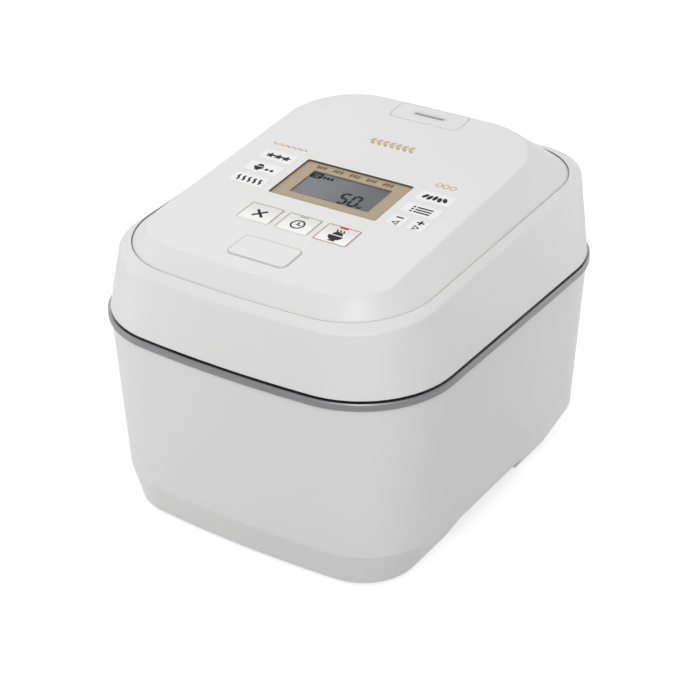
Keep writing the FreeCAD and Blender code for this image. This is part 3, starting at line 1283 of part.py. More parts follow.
def check_and_write():
    """Stop on any failed object, then write one file for each piece."""
    DOC.recompute()
    for thing in DOC.Objects:
        if "Invalid" in thing.State or "Error" in thing.State:
            raise RuntimeError(f"{thing.Name} ({thing.Label}) failed: {thing.State}")
    for piece in NODES:
        if piece.Shape.isNull() or not piece.Shape.isValid() or not piece.Shape.Solids:
            raise RuntimeError(f"{piece.Label} has no valid solid")
    os.makedirs("parts", exist_ok=True)
    for piece in NODES:
        piece.Shape.exportStep(f"parts/{piece.Label}.step")
        box = piece.Shape.BoundBox
        print(f"{piece.Label}: {len(piece.Shape.Solids)} solids, {piece.Shape.Volume / 1000:.1f} cm3, "
              f"x {box.XMin:.1f} {box.XMax:.1f} y {box.YMin:.1f} {box.YMax:.1f} "
              f"z {box.ZMin:.1f} {box.ZMax:.1f}")


base_tray()
outer_casing()
trim_band()
upper_frame()
pot_and_well()
induction_heater()
electronics()
fan()
hinge()
lid_shell()
lid_liner()
top_panel()
display()
keys()
lid_release()
steam_way()
check_and_write()
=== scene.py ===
"""The looks of a white countertop rice cooker: camera, light, materials, printed marks and pieces of painted shade.

Lengths are in millimetres and angles in degrees, unless a comment says otherwise. The frame is that of the solids:
x to the right, y to the rear and z up.
"""
import math

import bpy
from mathutils import Matrix, Vector


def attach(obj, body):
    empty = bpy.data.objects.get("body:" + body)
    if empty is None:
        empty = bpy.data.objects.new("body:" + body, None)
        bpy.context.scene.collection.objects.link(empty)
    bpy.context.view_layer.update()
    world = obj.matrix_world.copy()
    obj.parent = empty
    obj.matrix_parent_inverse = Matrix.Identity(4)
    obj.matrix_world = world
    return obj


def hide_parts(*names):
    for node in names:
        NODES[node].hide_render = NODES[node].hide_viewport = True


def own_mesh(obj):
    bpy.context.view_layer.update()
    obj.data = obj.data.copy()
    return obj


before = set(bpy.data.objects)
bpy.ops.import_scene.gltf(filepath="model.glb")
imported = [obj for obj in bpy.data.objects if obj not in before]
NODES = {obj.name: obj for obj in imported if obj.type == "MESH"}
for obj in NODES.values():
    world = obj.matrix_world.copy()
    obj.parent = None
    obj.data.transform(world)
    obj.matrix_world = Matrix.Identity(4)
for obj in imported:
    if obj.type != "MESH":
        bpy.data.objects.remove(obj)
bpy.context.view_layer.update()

MM = 0.001
WHITE = (1, 1, 1, 1)


def sloping(height, tilt):
    """A plane at a height over the middle of the cooker, lower at the front."""
    return Matrix.Translation((0, 0, height * MM)) @ Matrix.Rotation(math.radians(tilt), 4, "X")


# Two planes of the solids: the flat top, and the seam round it
PANEL = sloping(228.4, 5.88)
SEAM = sloping(209.9, 2.98)

# Thickness of a print
PRINT = 0.04


# Camera and light

# The photograph's view, with the focal length and the image's centre in pixels
IMAGE = 700
CAMERA_AT = Vector((635.967, -974.888, 761.204)) * MM
CAMERA_BEARING = 33.078
CAMERA_HEIGHT = 29.898
CAMERA_ROLL = -0.258
FOCAL_PIXELS = 1843.355
IMAGE_CENTRE = (356.194, 349.205)
SENSOR_WIDTH = 36
NEAREST = 0.01

# Lamps: name, diameter in metres, power, bearing from the front, height angle, distance in metres
LAMPS = (
    ("key_light", 1.4, 19.5, 33, 35, 2.2),
    ("front_light", 0.9, 2.9, 22, 56, 1.55),
    ("left_light", 0.35, 0.46, -54, 8, 0.52),
    ("right_light", 0.35, 0.36, 140, 8, 0.5),
    ("rear_light", 0.8, 1.3, 236, 38, 1.3),
    ("top_light", 1.4, 6.4, 215, 58, 1.7),
)
LAMPS_AIM = Vector((0, 0, 120)) * MM
WORLD_LIGHT = 0.3

# The floor in metres, and its own light, which grows from one strength to another between two distances
FLOOR_SIZE = 12
FLOOR_COLOR = (0.6, 0.6, 0.6, 1)
FLOOR_GLOW_FROM = (0.6, 2.0)
FLOOR_GLOW = (0.62, 1.0)


def direction(bearing, height):
    """The way from the object to a place round it."""
    turn, lift = math.radians(bearing), math.radians(height)
    return Vector((math.sin(turn) * math.cos(lift), -math.cos(turn) * math.cos(lift), math.sin(lift)))


def make_camera():
    """The photograph's view."""
    data = bpy.data.cameras.new("camera")
    camera = bpy.data.objects.new("camera", data)
    bpy.context.scene.collection.objects.link(camera)
    bpy.context.scene.camera = camera
    data.sensor_width = SENSOR_WIDTH
    data.lens = FOCAL_PIXELS / IMAGE * SENSOR_WIDTH
    data.shift_x = (IMAGE / 2 - IMAGE_CENTRE[0]) / IMAGE
    data.shift_y = (IMAGE_CENTRE[1] - IMAGE / 2) / IMAGE
    data.clip_start = NEAREST
    turn, roll = math.radians(CAMERA_BEARING), math.radians(CAMERA_ROLL)
    back = direction(CAMERA_BEARING, CAMERA_HEIGHT)
    level = Vector((math.cos(turn), math.sin(turn), 0))
    upright = back.cross(level)
    right = level * math.cos(roll) + upright * math.sin(roll)
    up = upright * math.cos(roll) - level * math.sin(roll)
    camera.matrix_world = Matrix.Translation(CAMERA_AT) @ Matrix((right, up, back)).transposed().to_4x4()


def area_light(name, size, power, bearing, height, distance):
    """A large soft lamp that faces the middle of the object."""
    data = bpy.data.lights.new(name, "AREA")
    data.shape = "DISK"
    data.size = size
    data.energy = power
    lamp = bpy.data.objects.new(name, data)
    bpy.context.scene.collection.objects.link(lamp)
    away = direction(bearing, height)
    lamp.location = LAMPS_AIM + away * distance
    lamp.rotation_euler = away.to_track_quat("Z", "Y").to_euler()
    lamp.visible_camera = False


def looking_on(tree):
    """One for rays straight from the camera, a mirror or a window, and nought for all others."""
    path = tree.nodes.new("ShaderNodeLightPath")
    value = path.outputs["Is Camera Ray"]
    for kind in ("Is Glossy Ray", "Is Transmission Ray"):
        either = tree.nodes.new("ShaderNodeMath")
        either.operation = "MAXIMUM"
        tree.links.new(value, either.inputs[0])
        tree.links.new(path.outputs[kind], either.inputs[1])
        value = either.outputs["Value"]
    return value


def make_world():
    """Even light from all round, and plain white where one looks past the object."""
    world = bpy.data.worlds.new("studio")
    world.use_nodes = True
    bpy.context.scene.world = world
    tree = world.node_tree
    lit = tree.nodes["Background"]
    lit.inputs["Color"].default_value = WHITE
    lit.inputs["Strength"].default_value = WORLD_LIGHT
    seen = tree.nodes.new("ShaderNodeBackground")
    seen.inputs["Color"].default_value = WHITE
    seen.inputs["Strength"].default_value = 1
    mix = tree.nodes.new("ShaderNodeMixShader")
    tree.links.new(looking_on(tree), mix.inputs["Fac"])
    tree.links.new(lit.outputs["Background"], mix.inputs[1])
    tree.links.new(seen.outputs["Background"], mix.inputs[2])
    tree.links.new(mix.outputs["Shader"], tree.nodes["World Output"].inputs["Surface"])


def map_range(tree, value, source, target, smooth=False):
    """A value brought from one range to another."""
    span = tree.nodes.new("ShaderNodeMapRange")
    if smooth:
        span.interpolation_type = "SMOOTHSTEP"
    for socket, number in zip(("From Min", "From Max", "To Min", "To Max"), (*source, *target)):
        span.inputs[socket].default_value = number
    tree.links.new(value, span.inputs["Value"])
    return span.outputs["Result"]


def make_floor():
    """A pale floor that looks white and keeps a faint shadow."""
    bpy.ops.mesh.primitive_plane_add(size=FLOOR_SIZE)
    floor = bpy.context.object
    floor.name = "floor"
    material = bpy.data.materials.new("floor")
    material.use_nodes = True
    tree = material.node_tree
    tree.nodes.remove(tree.nodes["Principled BSDF"])
    matt = tree.nodes.new("ShaderNodeBsdfDiffuse")
    matt.inputs["Color"].default_value = FLOOR_COLOR
    glow = tree.nodes.new("ShaderNodeEmission")
    place = tree.nodes.new("ShaderNodeTexCoord")
    reach = tree.nodes.new("ShaderNodeVectorMath")
    reach.operation = "LENGTH"
    lift = tree.nodes.new("ShaderNodeMath")
    lift.operation = "MULTIPLY"
    added = tree.nodes.new("ShaderNodeAddShader")
    tree.links.new(place.outputs["Object"], reach.inputs[0])
    tree.links.new(looking_on(tree), lift.inputs[0])
    tree.links.new(map_range(tree, reach.outputs["Value"], FLOOR_GLOW_FROM, FLOOR_GLOW), lift.inputs[1])
    tree.links.new(lift.outputs["Value"], glow.inputs["Strength"])
    tree.links.new(matt.outputs["BSDF"], added.inputs[0])
    tree.links.new(glow.outputs["Emission"], added.inputs[1])
    tree.links.new(added.outputs["Shader"], tree.nodes["Material Output"].inputs["Surface"])
    floor.data.materials.append(material)


# Materials

# Noises: the range of their values that is used, and their cells per metre. A swing is the share by which roughness
# goes up and down, and a relief is the strength of a bump.
NOISE_SPAN = (0.3, 0.7)
TONE_CELLS = 14
GLOSS_CELLS = 25
GRAIN_CELLS = 1200
STREAK_CELLS = 900
MOULDED_SWING = 0.05
BRUSHED_SWING = 0.25
MOULDED_RELIEF = 0.1
BRUSHED_RELIEF = 0.2


def principled(material):
    """A material's shader."""
    return material.node_tree.nodes["Principled BSDF"]


def shader(name, color, roughness, **sockets):
    """A material with a Principled shader."""
    material = bpy.data.materials.new(name)
    material.use_nodes = True
    inputs = principled(material).inputs
    inputs["Base Color"].default_value = (*color, 1)
    inputs["Roughness"].default_value = roughness
    for socket, value in sockets.items():
        inputs[socket.replace("_", " ")].default_value = value
    return material


def noise(material, cells, detail=3, stretch=(1, 1, 1)):
    """A noise in the object's own space."""
    tree = material.node_tree
    place = tree.nodes.new("ShaderNodeTexCoord")
    mapping = tree.nodes.new("ShaderNodeMapping")
    mapping.inputs["Scale"].default_value = stretch
    texture = tree.nodes.new("ShaderNodeTexNoise")
    texture.inputs["Scale"].default_value = cells
    texture.inputs["Detail"].default_value = detail
    tree.links.new(place.outputs["Object"], mapping.inputs["Vector"])
    tree.links.new(mapping.outputs["Vector"], texture.inputs["Vector"])
    return texture.outputs["Fac"]


def mottle(material, value, first, second):
    """Base colour that drifts between two colours."""
    tree = material.node_tree
    mix = tree.nodes.new("ShaderNodeMix")
    mix.data_type = "RGBA"
    mix.inputs["A"].default_value = (*first, 1)
    mix.inputs["B"].default_value = (*second, 1)
    tree.links.new(value, mix.inputs["Factor"])
    tree.links.new(mix.outputs["Result"], principled(material).inputs["Base Color"])


def vary_roughness(material, value, low, high):
    """Roughness that follows a noise."""
    tree = material.node_tree
    rough = map_range(tree, value, NOISE_SPAN, (low, high))
    tree.links.new(rough, principled(material).inputs["Roughness"])


def grain(material, value, strength, distance):
    """A fine surface relief, with its depth in metres."""
    tree = material.node_tree
    bump = tree.nodes.new("ShaderNodeBump")
    bump.inputs["Strength"].default_value = strength
    bump.inputs["Distance"].default_value = distance
    tree.links.new(value, bump.inputs["Height"])
    tree.links.new(bump.outputs["Normal"], principled(material).inputs["Normal"])


def darker(color, drift):
    return [part * (1 - drift) for part in color]


def moulded(name, color, roughness, drift=0.03, cells=GRAIN_CELLS, relief=0.00001, **sockets):
    """Injection-moulded plastic: a slight drift of tone, uneven gloss and a fine texture."""
    material = shader(name, color, roughness, **sockets)
    mottle(material, noise(material, TONE_CELLS), color, darker(color, drift))
    vary_roughness(material, noise(material, GLOSS_CELLS),
                   roughness * (1 - MOULDED_SWING), roughness * (1 + MOULDED_SWING))
    grain(material, noise(material, cells), MOULDED_RELIEF, relief)
    return material


def brushed(name, color, roughness, stretch, drift=0.2, relief=0.00003):
    """Brushed metal: fine streaks along one direction."""
    material = shader(name, color, roughness, Metallic=1.0)
    streaks = noise(material, STREAK_CELLS, 4, stretch)
    mottle(material, streaks, color, darker(color, drift))
    vary_roughness(material, streaks, roughness * (1 - BRUSHED_SWING), roughness * (1 + BRUSHED_SWING))
    grain(material, streaks, BRUSHED_RELIEF, relief)
    return material


def faded(material, axis, start, end, first, second):
    """Base colour that runs from one colour to another along an axis of the object."""
    tree = material.node_tree
    place = tree.nodes.new("ShaderNodeTexCoord")
    split = tree.nodes.new("ShaderNodeSeparateXYZ")
    tree.links.new(place.outputs["Object"], split.inputs["Vector"])
    way = map_range(tree, split.outputs[axis], (start * MM, end * MM), (0, 1), smooth=True)
    mottle(material, way, first, second)
    return material


def smoked_glass():
    """A dark clear window with faintly uneven gloss."""
    material = shader("display_glass", (0.01, 0.01, 0.01), 0.08, Alpha=0.15, IOR=1.2)
    vary_roughness(material, noise(material, 40), 0.06, 0.1)
    return material


def make_materials():
    """Every material of the object, by name."""
    along, swirl, sheet = (0.04, 0.04, 1), (1, 1, 0.05), (1, 0.06, 1)
    matt = {"Specular_IOR_Level": 0.1}
    lamp_glow = {"Emission_Color": (1, 0.03, 0.02, 1), "Emission_Strength": 0.2}
    main_key = moulded("main_key_plastic_painted_shade", (0.9, 0.9, 0.895), 0.36, 0.01)
    lcd = moulded("lcd_surface_painted_light", (0.3, 0.33, 0.35), 0.6, 0.1)
    return {
        # Outside
        "white": moulded("white_plastic", (0.80, 0.80, 0.797), 0.44, 0.006),
        # Painted shade: the skirt is a little darker than the white plastic of the casing above it
        "skirt": moulded("skirt_plastic_painted_shade", (0.77, 0.77, 0.767), 0.38, 0.006),
        "key": moulded("key_plastic", (0.88, 0.88, 0.877), 0.36, 0.006),
        # Painted shade on the main keys: white at the front, running to grey at the rear
        "main_key": faded(main_key, "Y", -78, -59, (0.93, 0.93, 0.925), (0.74, 0.74, 0.735)),
        "band": brushed("brushed_band", (0.235, 0.235, 0.24), 0.42, along),
        "grille": moulded("grille_plastic", (0.42, 0.42, 0.42), 0.5, 0.02),
        # Inside
        "deck": moulded("deck_plastic", (0.035, 0.035, 0.037), 0.5, 0.1),
        "liner": moulded("liner_plastic", (0.07, 0.07, 0.073), 0.45, 0.08),
        "dark": moulded("dark_plastic", (0.035, 0.035, 0.037), 0.5, 0.15),
        # Dark strips of painted shade in the gaps round the top panel and the release button
        "panel_gap_shade": moulded("panel_gap_shade_strip", (0.17, 0.17, 0.17), 0.8, 0.2, 900, 0.00002),
        "button_gap_shade_strip": moulded("button_gap_shade_strip", (0.28, 0.28, 0.28), 0.8, 0.1, 900, 0.00002),
        "rubber": moulded("rubber", (0.03, 0.03, 0.03), 0.8, 0.2, 900, 0.00008),
        "silicone": moulded("silicone", (0.55, 0.55, 0.53), 0.55, 0.06),
        "steel": brushed("steel", (0.4, 0.4, 0.41), 0.35, swirl, 0.1, 0.00001),
        "well": brushed("well_metal", (0.55, 0.55, 0.55), 0.4, (1, 1, 0.2), 0.1, 0.00001),
        "pot": moulded("pot_coating", (0.045, 0.042, 0.04), 0.38, 0.3, 5000, 0.00002, Coat_Weight=0.3),
        "inner_lid": brushed("inner_lid_metal", (0.5, 0.5, 0.5), 0.42, sheet, 0.06, 0.000002),
        "copper": brushed("coil_wire", (0.62, 0.30, 0.16), 0.35, (1, 1, 0.1)),
        "ferrite": moulded("ferrite", (0.06, 0.06, 0.065), 0.7, 0.3),
        "board": moulded("board_resin", (0.03, 0.13, 0.05), 0.4, 0.2),
        "parts": moulded("component", (0.05, 0.05, 0.06), 0.45, 0.3),
        # Display and prints, and the painted light and shade among them
        "bezel": moulded("bezel_lacquer", (0.42, 0.325, 0.20), 0.5, 0.06, 3000, 0.00002),
        # Painted light on the LCD: lighter to the left, darker to the right
        "lcd": faded(lcd, "X", -32, 32, (0.29, 0.315, 0.34), (0.165, 0.185, 0.2)),
        "glass": smoked_glass(),
        "ink": moulded("black_ink", (0.02, 0.02, 0.021), 0.55, 0.3, **matt),
        "segment": moulded("lcd_segment", (0.006, 0.006, 0.007), 0.6, 0.3, **matt),
        "gold_ink": moulded("gold_ink", (0.56, 0.36, 0.13), 0.4, 0.1),
        # Brown ink, also for the painted shadow on the wall of the display's opening
        "brown_ink_and_shade": moulded("brown_ink_and_shade", (0.10, 0.06, 0.03), 0.5, 0.1),
        # Grey ink, also for the painted shade line along the release button's edge
        "grey_ink_and_shade": moulded("grey_ink_and_shade", (0.42, 0.42, 0.42), 0.5, 0.1),
        # Pale ink, also for the painted shade lines round the steam cap and its opening
        "pale_ink_and_shade": moulded("pale_ink_and_shade", (0.62, 0.62, 0.61), 0.5, 0.05),
        "border": faded(moulded("border_ink", (0.40, 0.30, 0.22), 0.45, 0.1), "Y", -79, -76,
                        (0.80, 0.75, 0.66), (0.30, 0.25, 0.19)),
        "red_border": moulded("red_border_ink", (0.42, 0.09, 0.10), 0.45, 0.1),
        "led": moulded("red_lens", (0.7, 0.02, 0.012), 0.5, 0.1, **matt, **lamp_glow),
    }


MATERIAL_OF = {
    "white": ("outer_casing", "lid_shell", "top_panel", "release_button", "steam_cap"),
    "skirt": ("base_tray",),
    "key": ("key_left_1", "key_left_2", "key_left_3", "key_right_1", "key_right_2", "key_back", "key_next"),
    "main_key": ("key_cancel", "key_timer", "key_cook"),
    "band": ("trim_band",),
    "deck": ("upper_frame",),
    "liner": ("lid_liner", "hinge_arms", "steam_cup", "steam_duct"),
    "dark": ("coil_carrier", "sensor_holder", "fan_housing", "fan_rotor", "cord_outlet", "latch_lever",
             "lid_screws"),
    "rubber": ("feet",),
    "silicone": ("inner_lid_gasket", "duct_seal", "cap_packing"),
    "steel": ("base_screws", "frame_screws", "hinge_shaft", "hinge_springs", "hinge_bracket",
              "latch_catch", "latch_pin", "latch_spring", "sensor_spring"),
    "well": ("pot_well", "side_heater", "heat_sink", "lid_heater", "centre_sensor"),
    "pot": ("inner_pot",),
    "inner_lid": ("inner_lid",),
    "copper": ("induction_coil",),
    "ferrite": ("ferrite_bars",),
    "board": ("power_board", "control_board"),
    "parts": ("board_parts", "tact_switches"),
    "bezel": ("display_bezel",),
    "glass": ("display_window",),
    "lcd": ("lcd_module",),
}


def dress_nodes():
    """Give every solid its material."""
    for material, names in MATERIAL_OF.items():
        for name in names:
            slots = NODES[name].data.materials
            slots.clear()
            slots.append(MATERIALS[material])


# The sensor's spring


def sensor_coil():
    """The sensor's spring again, as a piece of its own on the base, with the solid's spring hidden."""
    coil = bpy.data.objects.new("sensor_coil", NODES["sensor_spring"].data.copy())
    bpy.context.scene.collection.objects.link(coil)
    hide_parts("sensor_spring")
    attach(coil, "base")
    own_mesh(coil)


# Drawing: a loop is a list of points, and a sign is a list of loops

def arc(x, y, radius, start, end, points=16):
    """An open run of points on a circle."""
    turns = [math.radians(start + (end - start) * i / points) for i in range(points + 1)]
    return [(x + radius * math.cos(turn), y + radius * math.sin(turn)) for turn in turns]


def circle(x, y, radius, points=32):
    turns = [2 * math.pi * i / points for i in range(points)]
    return [(x + radius * math.cos(turn), y + radius * math.sin(turn)) for turn in turns]


def rectangle(x, y, width, depth, corner=0, points=6):
    """A rectangle, with round corners where a radius is given."""
    signs = ((1, 1), (-1, 1), (-1, -1), (1, -1))
    if not corner:
        return [(x + sx * width / 2, y + sy * depth / 2) for sx, sy in signs]
    outline = []
    for quarter, (sx, sy) in enumerate(signs):
        outline += arc(x + sx * (width / 2 - corner), y + sy * (depth / 2 - corner), corner,
                       90 * quarter, 90 * (quarter + 1), points)
    return outline


def border(x, y, size, corner, line):
    """A thin rectangular line, drawn inwards from its outer size."""
    width, depth = size
    return [rectangle(x, y, width, depth, corner),
            rectangle(x, y, width - 2 * line, depth - 2 * line, max(corner - line, 0.1))]


def stroke(points, width):
    """A thick open line."""
    left, right = [], []
    for i, (x, y) in enumerate(points):
        before, after = points[max(i - 1, 0)], points[min(i + 1, len(points) - 1)]
        dx, dy = after[0] - before[0], after[1] - before[1]
        length = math.hypot(dx, dy)
        nx, ny = -dy / length * width / 2, dx / length * width / 2
        left.append((x + nx, y + ny))
        right.append((x - nx, y - ny))
    return left + right[::-1]


def moved(loops, x, y):
    return [[(px + x, py + y) for px, py in loop] for loop in loops]


def grown(size, margin):
    """A size with a margin on every side."""
    return [length + 2 * margin for length in size]


def wisp(x, y, length, swing, line, points=12):
    """A rising wisp of steam."""
    way = [(x + swing * math.sin(2 * math.pi * i / points), y + length * i / points) for i in range(points + 1)]
    return stroke(way, line)


def cross(arm, gap, line):
    """A cross of one long stroke and two short ones, which stop before it."""
    return [stroke([(-arm, -arm), (arm, arm)], line), stroke([(-arm, arm), (-gap, gap)], line),
            stroke([(gap, -gap), (arm, -arm)], line)]


def clock(radius, rim, hands, line):
    """A clock's face with its two hands."""
    return [circle(0, 0, radius), circle(0, 0, radius - rim), stroke(hands, line)]


def bowl(size):
    """A rice bowl seen from the side, heaped, with a small foot."""
    cup = arc(0, 0, size, 180, 360)
    foot = rectangle(0, -size * 1.12, size * 0.9, size * 0.24)
    heap = arc(0, size * 0.18, size * 0.72, 0, 180)
    return [cup, foot, heap]


def star(x, y, radius):
    """A star of five points."""
    tips = [(radius * (1 if i % 2 == 0 else 0.5), math.pi * i / 5) for i in range(10)]
    return [(x + reach * math.sin(turn), y + reach * math.cos(turn)) for reach, turn in tips]


def rice(x, y, length, angle, points=20):
    """A grain of rice."""
    turn = math.radians(angle)
    outline = []
    for along, across in circle(0, 0, 1, points):
        along, across = along * length * 0.5, across * length * 0.27
        outline.append((x + along * math.cos(turn) - across * math.sin(turn),
                        y + along * math.sin(turn) + across * math.cos(turn)))
    return outline


def listing(rows):
    """A list: a dot and a line in each row."""
    loops = []
    for row in rows:
        loops += [circle(-6.8, row, 1.0, 12), rectangle(1.6, row, 12.4, 1.5)]
    return loops


def arrow(way):
    """An open arrowhead to the left (-1) or right (1), under a minus or plus."""
    loops = [[(3.0 * way, 0), (-2.2 * way, 2.9), (-2.2 * way, -2.9)],
             [(1.5 * way, 0), (-1.4 * way, 1.6), (-1.4 * way, -1.6)],
             rectangle(0, 6.6, 5.6, 1.5)]
    if way > 0:
        loops += [rectangle(0, 8.3, 1.5, 1.9), rectangle(0, 4.9, 1.5, 1.9)]
    return loops


def dotted_edges(size):
    """Two rows of small dots along the front and rear of a key."""
    width, depth = size
    count = int(width / DOT_PITCH)
    return [circle(width * ((i + 0.5) / count - 0.5), side * (depth / 2 - DOT_INSET), DOT_RADIUS, 8)
            for i in range(count) for side in (-1, 1)]


# A figure of seven bars: its width, its bars' width and its rise as shares of its height, and the gap at bars' ends.
# A bar is given by its side, its level and whether it stands upright.
DIGIT_WIDTH = 0.41
DIGIT_LINE = 0.16
DIGIT_RISE = 0.94
DIGIT_GAP = 0.08
SEGMENTS = {"a": (0, 1, 0), "b": (0.5, 0.5, 1), "c": (0.5, -0.5, 1), "d": (0, -1, 0),
            "e": (-0.5, -0.5, 1), "f": (-0.5, 0.5, 1), "g": (0, 0, 0)}


def digit(x, y, height, lit):
    """A seven-segment figure."""
    rise, wide, thick = height / 2 * DIGIT_RISE, height * DIGIT_WIDTH, height * DIGIT_LINE
    loops = []
    for name in lit:
        side, level, upright = SEGMENTS[name]
        end = (rise if upright else wide) / 2 - DIGIT_GAP
        flat, half = end - thick / 2, thick / 2
        bar = [(-end, 0), (-flat, -half), (flat, -half), (end, 0), (flat, half), (-flat, half)]
        if upright:
            bar = [(-v, u) for u, v in bar]
        loops += moved([bar], x + side * wide, y + level * rise)
    return loops


def mark(name, loops, height, body, material, thickness=PRINT, plane=PANEL):
    """A thin piece on a sloping plane: closed loops in that plane, with holes inside outlines."""
    curve = bpy.data.curves.new(name, "CURVE")
    curve.dimensions = "2D"
    curve.fill_mode = "BOTH"
    curve.extrude = thickness / 2 * MM
    for loop in loops:
        spline = curve.splines.new("POLY")
        spline.points.add(len(loop) - 1)
        for point, (x, y) in zip(spline.points, loop):
            point.co = (x * MM, y * MM, 0, 1)
        spline.use_cyclic_u = True
    drawn = bpy.data.objects.new(name + "_drawn", curve)
    bpy.context.scene.collection.objects.link(drawn)
    mesh = bpy.data.meshes.new_from_object(drawn.evaluated_get(bpy.context.evaluated_depsgraph_get()))
    bpy.data.objects.remove(drawn)
    bpy.data.curves.remove(curve)
    mesh.transform(plane @ Matrix.Translation((0, 0, (height + thickness / 2) * MM)))
    mesh.materials.clear()
    mesh.materials.append(MATERIALS[material])
    piece = bpy.data.objects.new(name, mesh)
    bpy.context.scene.collection.objects.link(piece)
    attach(piece, body)
    return piece


# Places on the sloping top, as the solids have them, with heights and depths from its surface
KEY_TOP = 0.15
KEY_GAP = 0.3
KEY_CORNER = 1.4
KEY_SIZE = (26.0, 21.1)
KEY_Y = -68.9
KEY_X = {"key_cancel": -31.0, "key_timer": 0.0, "key_cook": 31.0}
DISPLAY_SIZE = (87.3, 50.8)
DISPLAY_Y = -16.8
DISPLAY_CORNER = 1.6
BEZEL_TOP = -1.2
LCD_TOP = -2.3
SIDE_SIZE = (27.6, 13.2)
SIDE_X = 64.5
SIDE_PITCH = 17.9
SIDE_Y = [DISPLAY_Y + SIDE_PITCH * (1 - row) for row in range(3)]
SIDE_KEYS = {f"key_left_{row + 1}": (-SIDE_X, y) for row, y in enumerate(SIDE_Y)}
SIDE_KEYS |= {f"key_right_{row + 1}": (SIDE_X, y) for row, y in enumerate(SIDE_Y[:2])}
ARROW_SIZE = (12.6, 13.2)
ARROW_X = {"key_back": SIDE_X - 8.0, "key_next": SIDE_X + 8.0}
BUTTON_SIZE = (46.4, 24.1)
BUTTON_CORNER = 4.5
BUTTON_Y = -108.0
BUTTON_GAP = 0.35
BUTTON_PROUD = 0.7
CAP_SIZE = (58.0, 22.6)
CAP_CORNER = 5.5
CAP_Y = 101.1
CAP_SLOT = (26.0, 3.4)

# The seam round the top: half its width, and for each end its reach, its corners' radius and its bow's radius
SEAM_HALF = 114.8
SEAM_FRONT = (145.9, 59.8, 882.0)
SEAM_REAR = (140.7, 49.1, 2790.0)

# The inside of the pot: its axis, floor, radius at the floor and widening
POT_Y = -22.0
POT_FLOOR = 39.2
POT_FOOT_RADIUS = 93.3
POT_FLARE = 2.5 / 115.6

# Strips of painted shade in the gaps of the top: where the panel's begins and ends inside the seam, depths, heights
# and the room left
PANEL_SHADE_STRIP = (0.33, 0.72)
PANEL_SHADE_DEPTH, PANEL_SHADE_HEIGHT = 0.9, 0.78
BUTTON_SHADE_DEPTH, BUTTON_SHADE_HEIGHT = 0.7, 0.6
BUTTON_SHADE_CORNER = BUTTON_CORNER + 1.5 * BUTTON_GAP
SHADE_STRIP_PLAY = 0.05
LIP_PLAY = 0.06

# Prints and lines of painted shade: widths of lines, how far edge lines lie inside, and the dots along the side keys
EDGE_LINE = 0.45
KEY_LINE = 0.7
RING_LINE = 0.35
SURROUND_LINE = 0.25
BUTTON_EDGE_INSET = 0.1
CAP_EDGE_INSET = 0.05
DOT_PITCH, DOT_INSET, DOT_RADIUS = 1.3, 0.5, 0.22

# The display's figures: places across, bars that are lit, height; and the places of the small blocks beside them
FIGURES = ((6.8, "acdfg"), (15.7, "abcdef"))
FIGURE_Y = -23.6
FIGURE_HEIGHT = 13.6
UNIT_AT = (22.2, FIGURE_Y - 5.6)
BADGE_AT = (-27.4, -5.4)
BLOCKS_AT, BLOCK_PITCH = (-20.8, -5.8), 3.0

# Grains on the bezel, in groups of three
BEZEL_GRAINS_AT = (-29.4, DISPLAY_Y + 20.6)
BEZEL_GROUPS, BEZEL_GROUP_PITCH = 5, 13.7
BEZEL_GRAIN, BEZEL_GRAIN_PITCH = 4.4, 2.9
BEZEL_GRAIN_ANGLES = (62, 80, 98)

# Gold ornaments: a wave with its steps, swing and line, coils, and an ear of paired grains on a stem
WAVE_AT = (-65.4, 17.0)
WAVE_STEPS, WAVE_STEP, WAVE_SWING, WAVE_TURN, WAVE_LINE = 60, 0.5, 0.9, 0.6, 1.1
COILS_AT, COIL_PITCH, COIL_RADII = (SIDE_X - 1.3, 18.3), 5.4, (2.6, 1.7)
EAR_AT, EAR_STEM = (-1.5, 51.8), (38.0, 0.8)
EAR_GRAINS, EAR_START, EAR_PITCH, EAR_LAG = 7, -16.0, 5.3, 1.2
EAR_GRAIN, EAR_GRAIN_ANGLE, EAR_GRAIN_SIDE = 4.6, 35, 2.3

# The steam cap's slot: the grille with its slits and the room left round both, and the ring of painted shade round
# the slot. A round end is a share of the depth.
GRILLE_PLAY = 0.15
GRILLE_DEPTH, GRILLE_THICKNESS = 1.1, 0.5
GRILLE_SLITS, SLIT_WIDTH, SLIT_CORNER = 14, 0.7, 0.3
SLIT_MARGINS = (3.0, 1.2)
RING_MARGIN = 2.0
ROUND_END = 0.49

# Level marks in the pot: the lowest one's height, their pitch, the way round to them, how far they stand proud, the
# bars that are lit in each figure, and three dashes beside it
POT_LEVEL = 72.0
POT_LEVEL_STEP = 13.0
POT_MARKS_AT = math.radians(112)
POT_MARKS_PROUD = 0.03
POT_FIGURES = ("bc", "abdeg", "abcdg", "bcfg", "acdfg")
POT_FIGURE_X, POT_FIGURE_HEIGHT = -12, 7.0
POT_DASHES_X, POT_DASH = (-5, 0, 5), (4, 0.9)


# Pieces

def seam_plan(inset):
    """The plan of the seam round the top, drawn further in."""
    half = SEAM_HALF - inset
    outline = []
    for way, (reach, corner, bow) in ((1, SEAM_REAR), (-1, SEAM_FRONT)):
        middle = bow - reach
        corner, bow = corner - inset, bow - inset
        across = half - corner
        along = math.sqrt((bow - corner) ** 2 - across ** 2)
        turn = math.degrees(math.atan2(along, across))
        side = arc(across, along - middle, corner, 0, turn)
        side += arc(0, -middle, bow, turn, 180 - turn)[1:-1]
        side += arc(-across, along - middle, corner, 180 - turn, 180)
        outline += [(x * way, y * way) for x, y in side]
    return outline


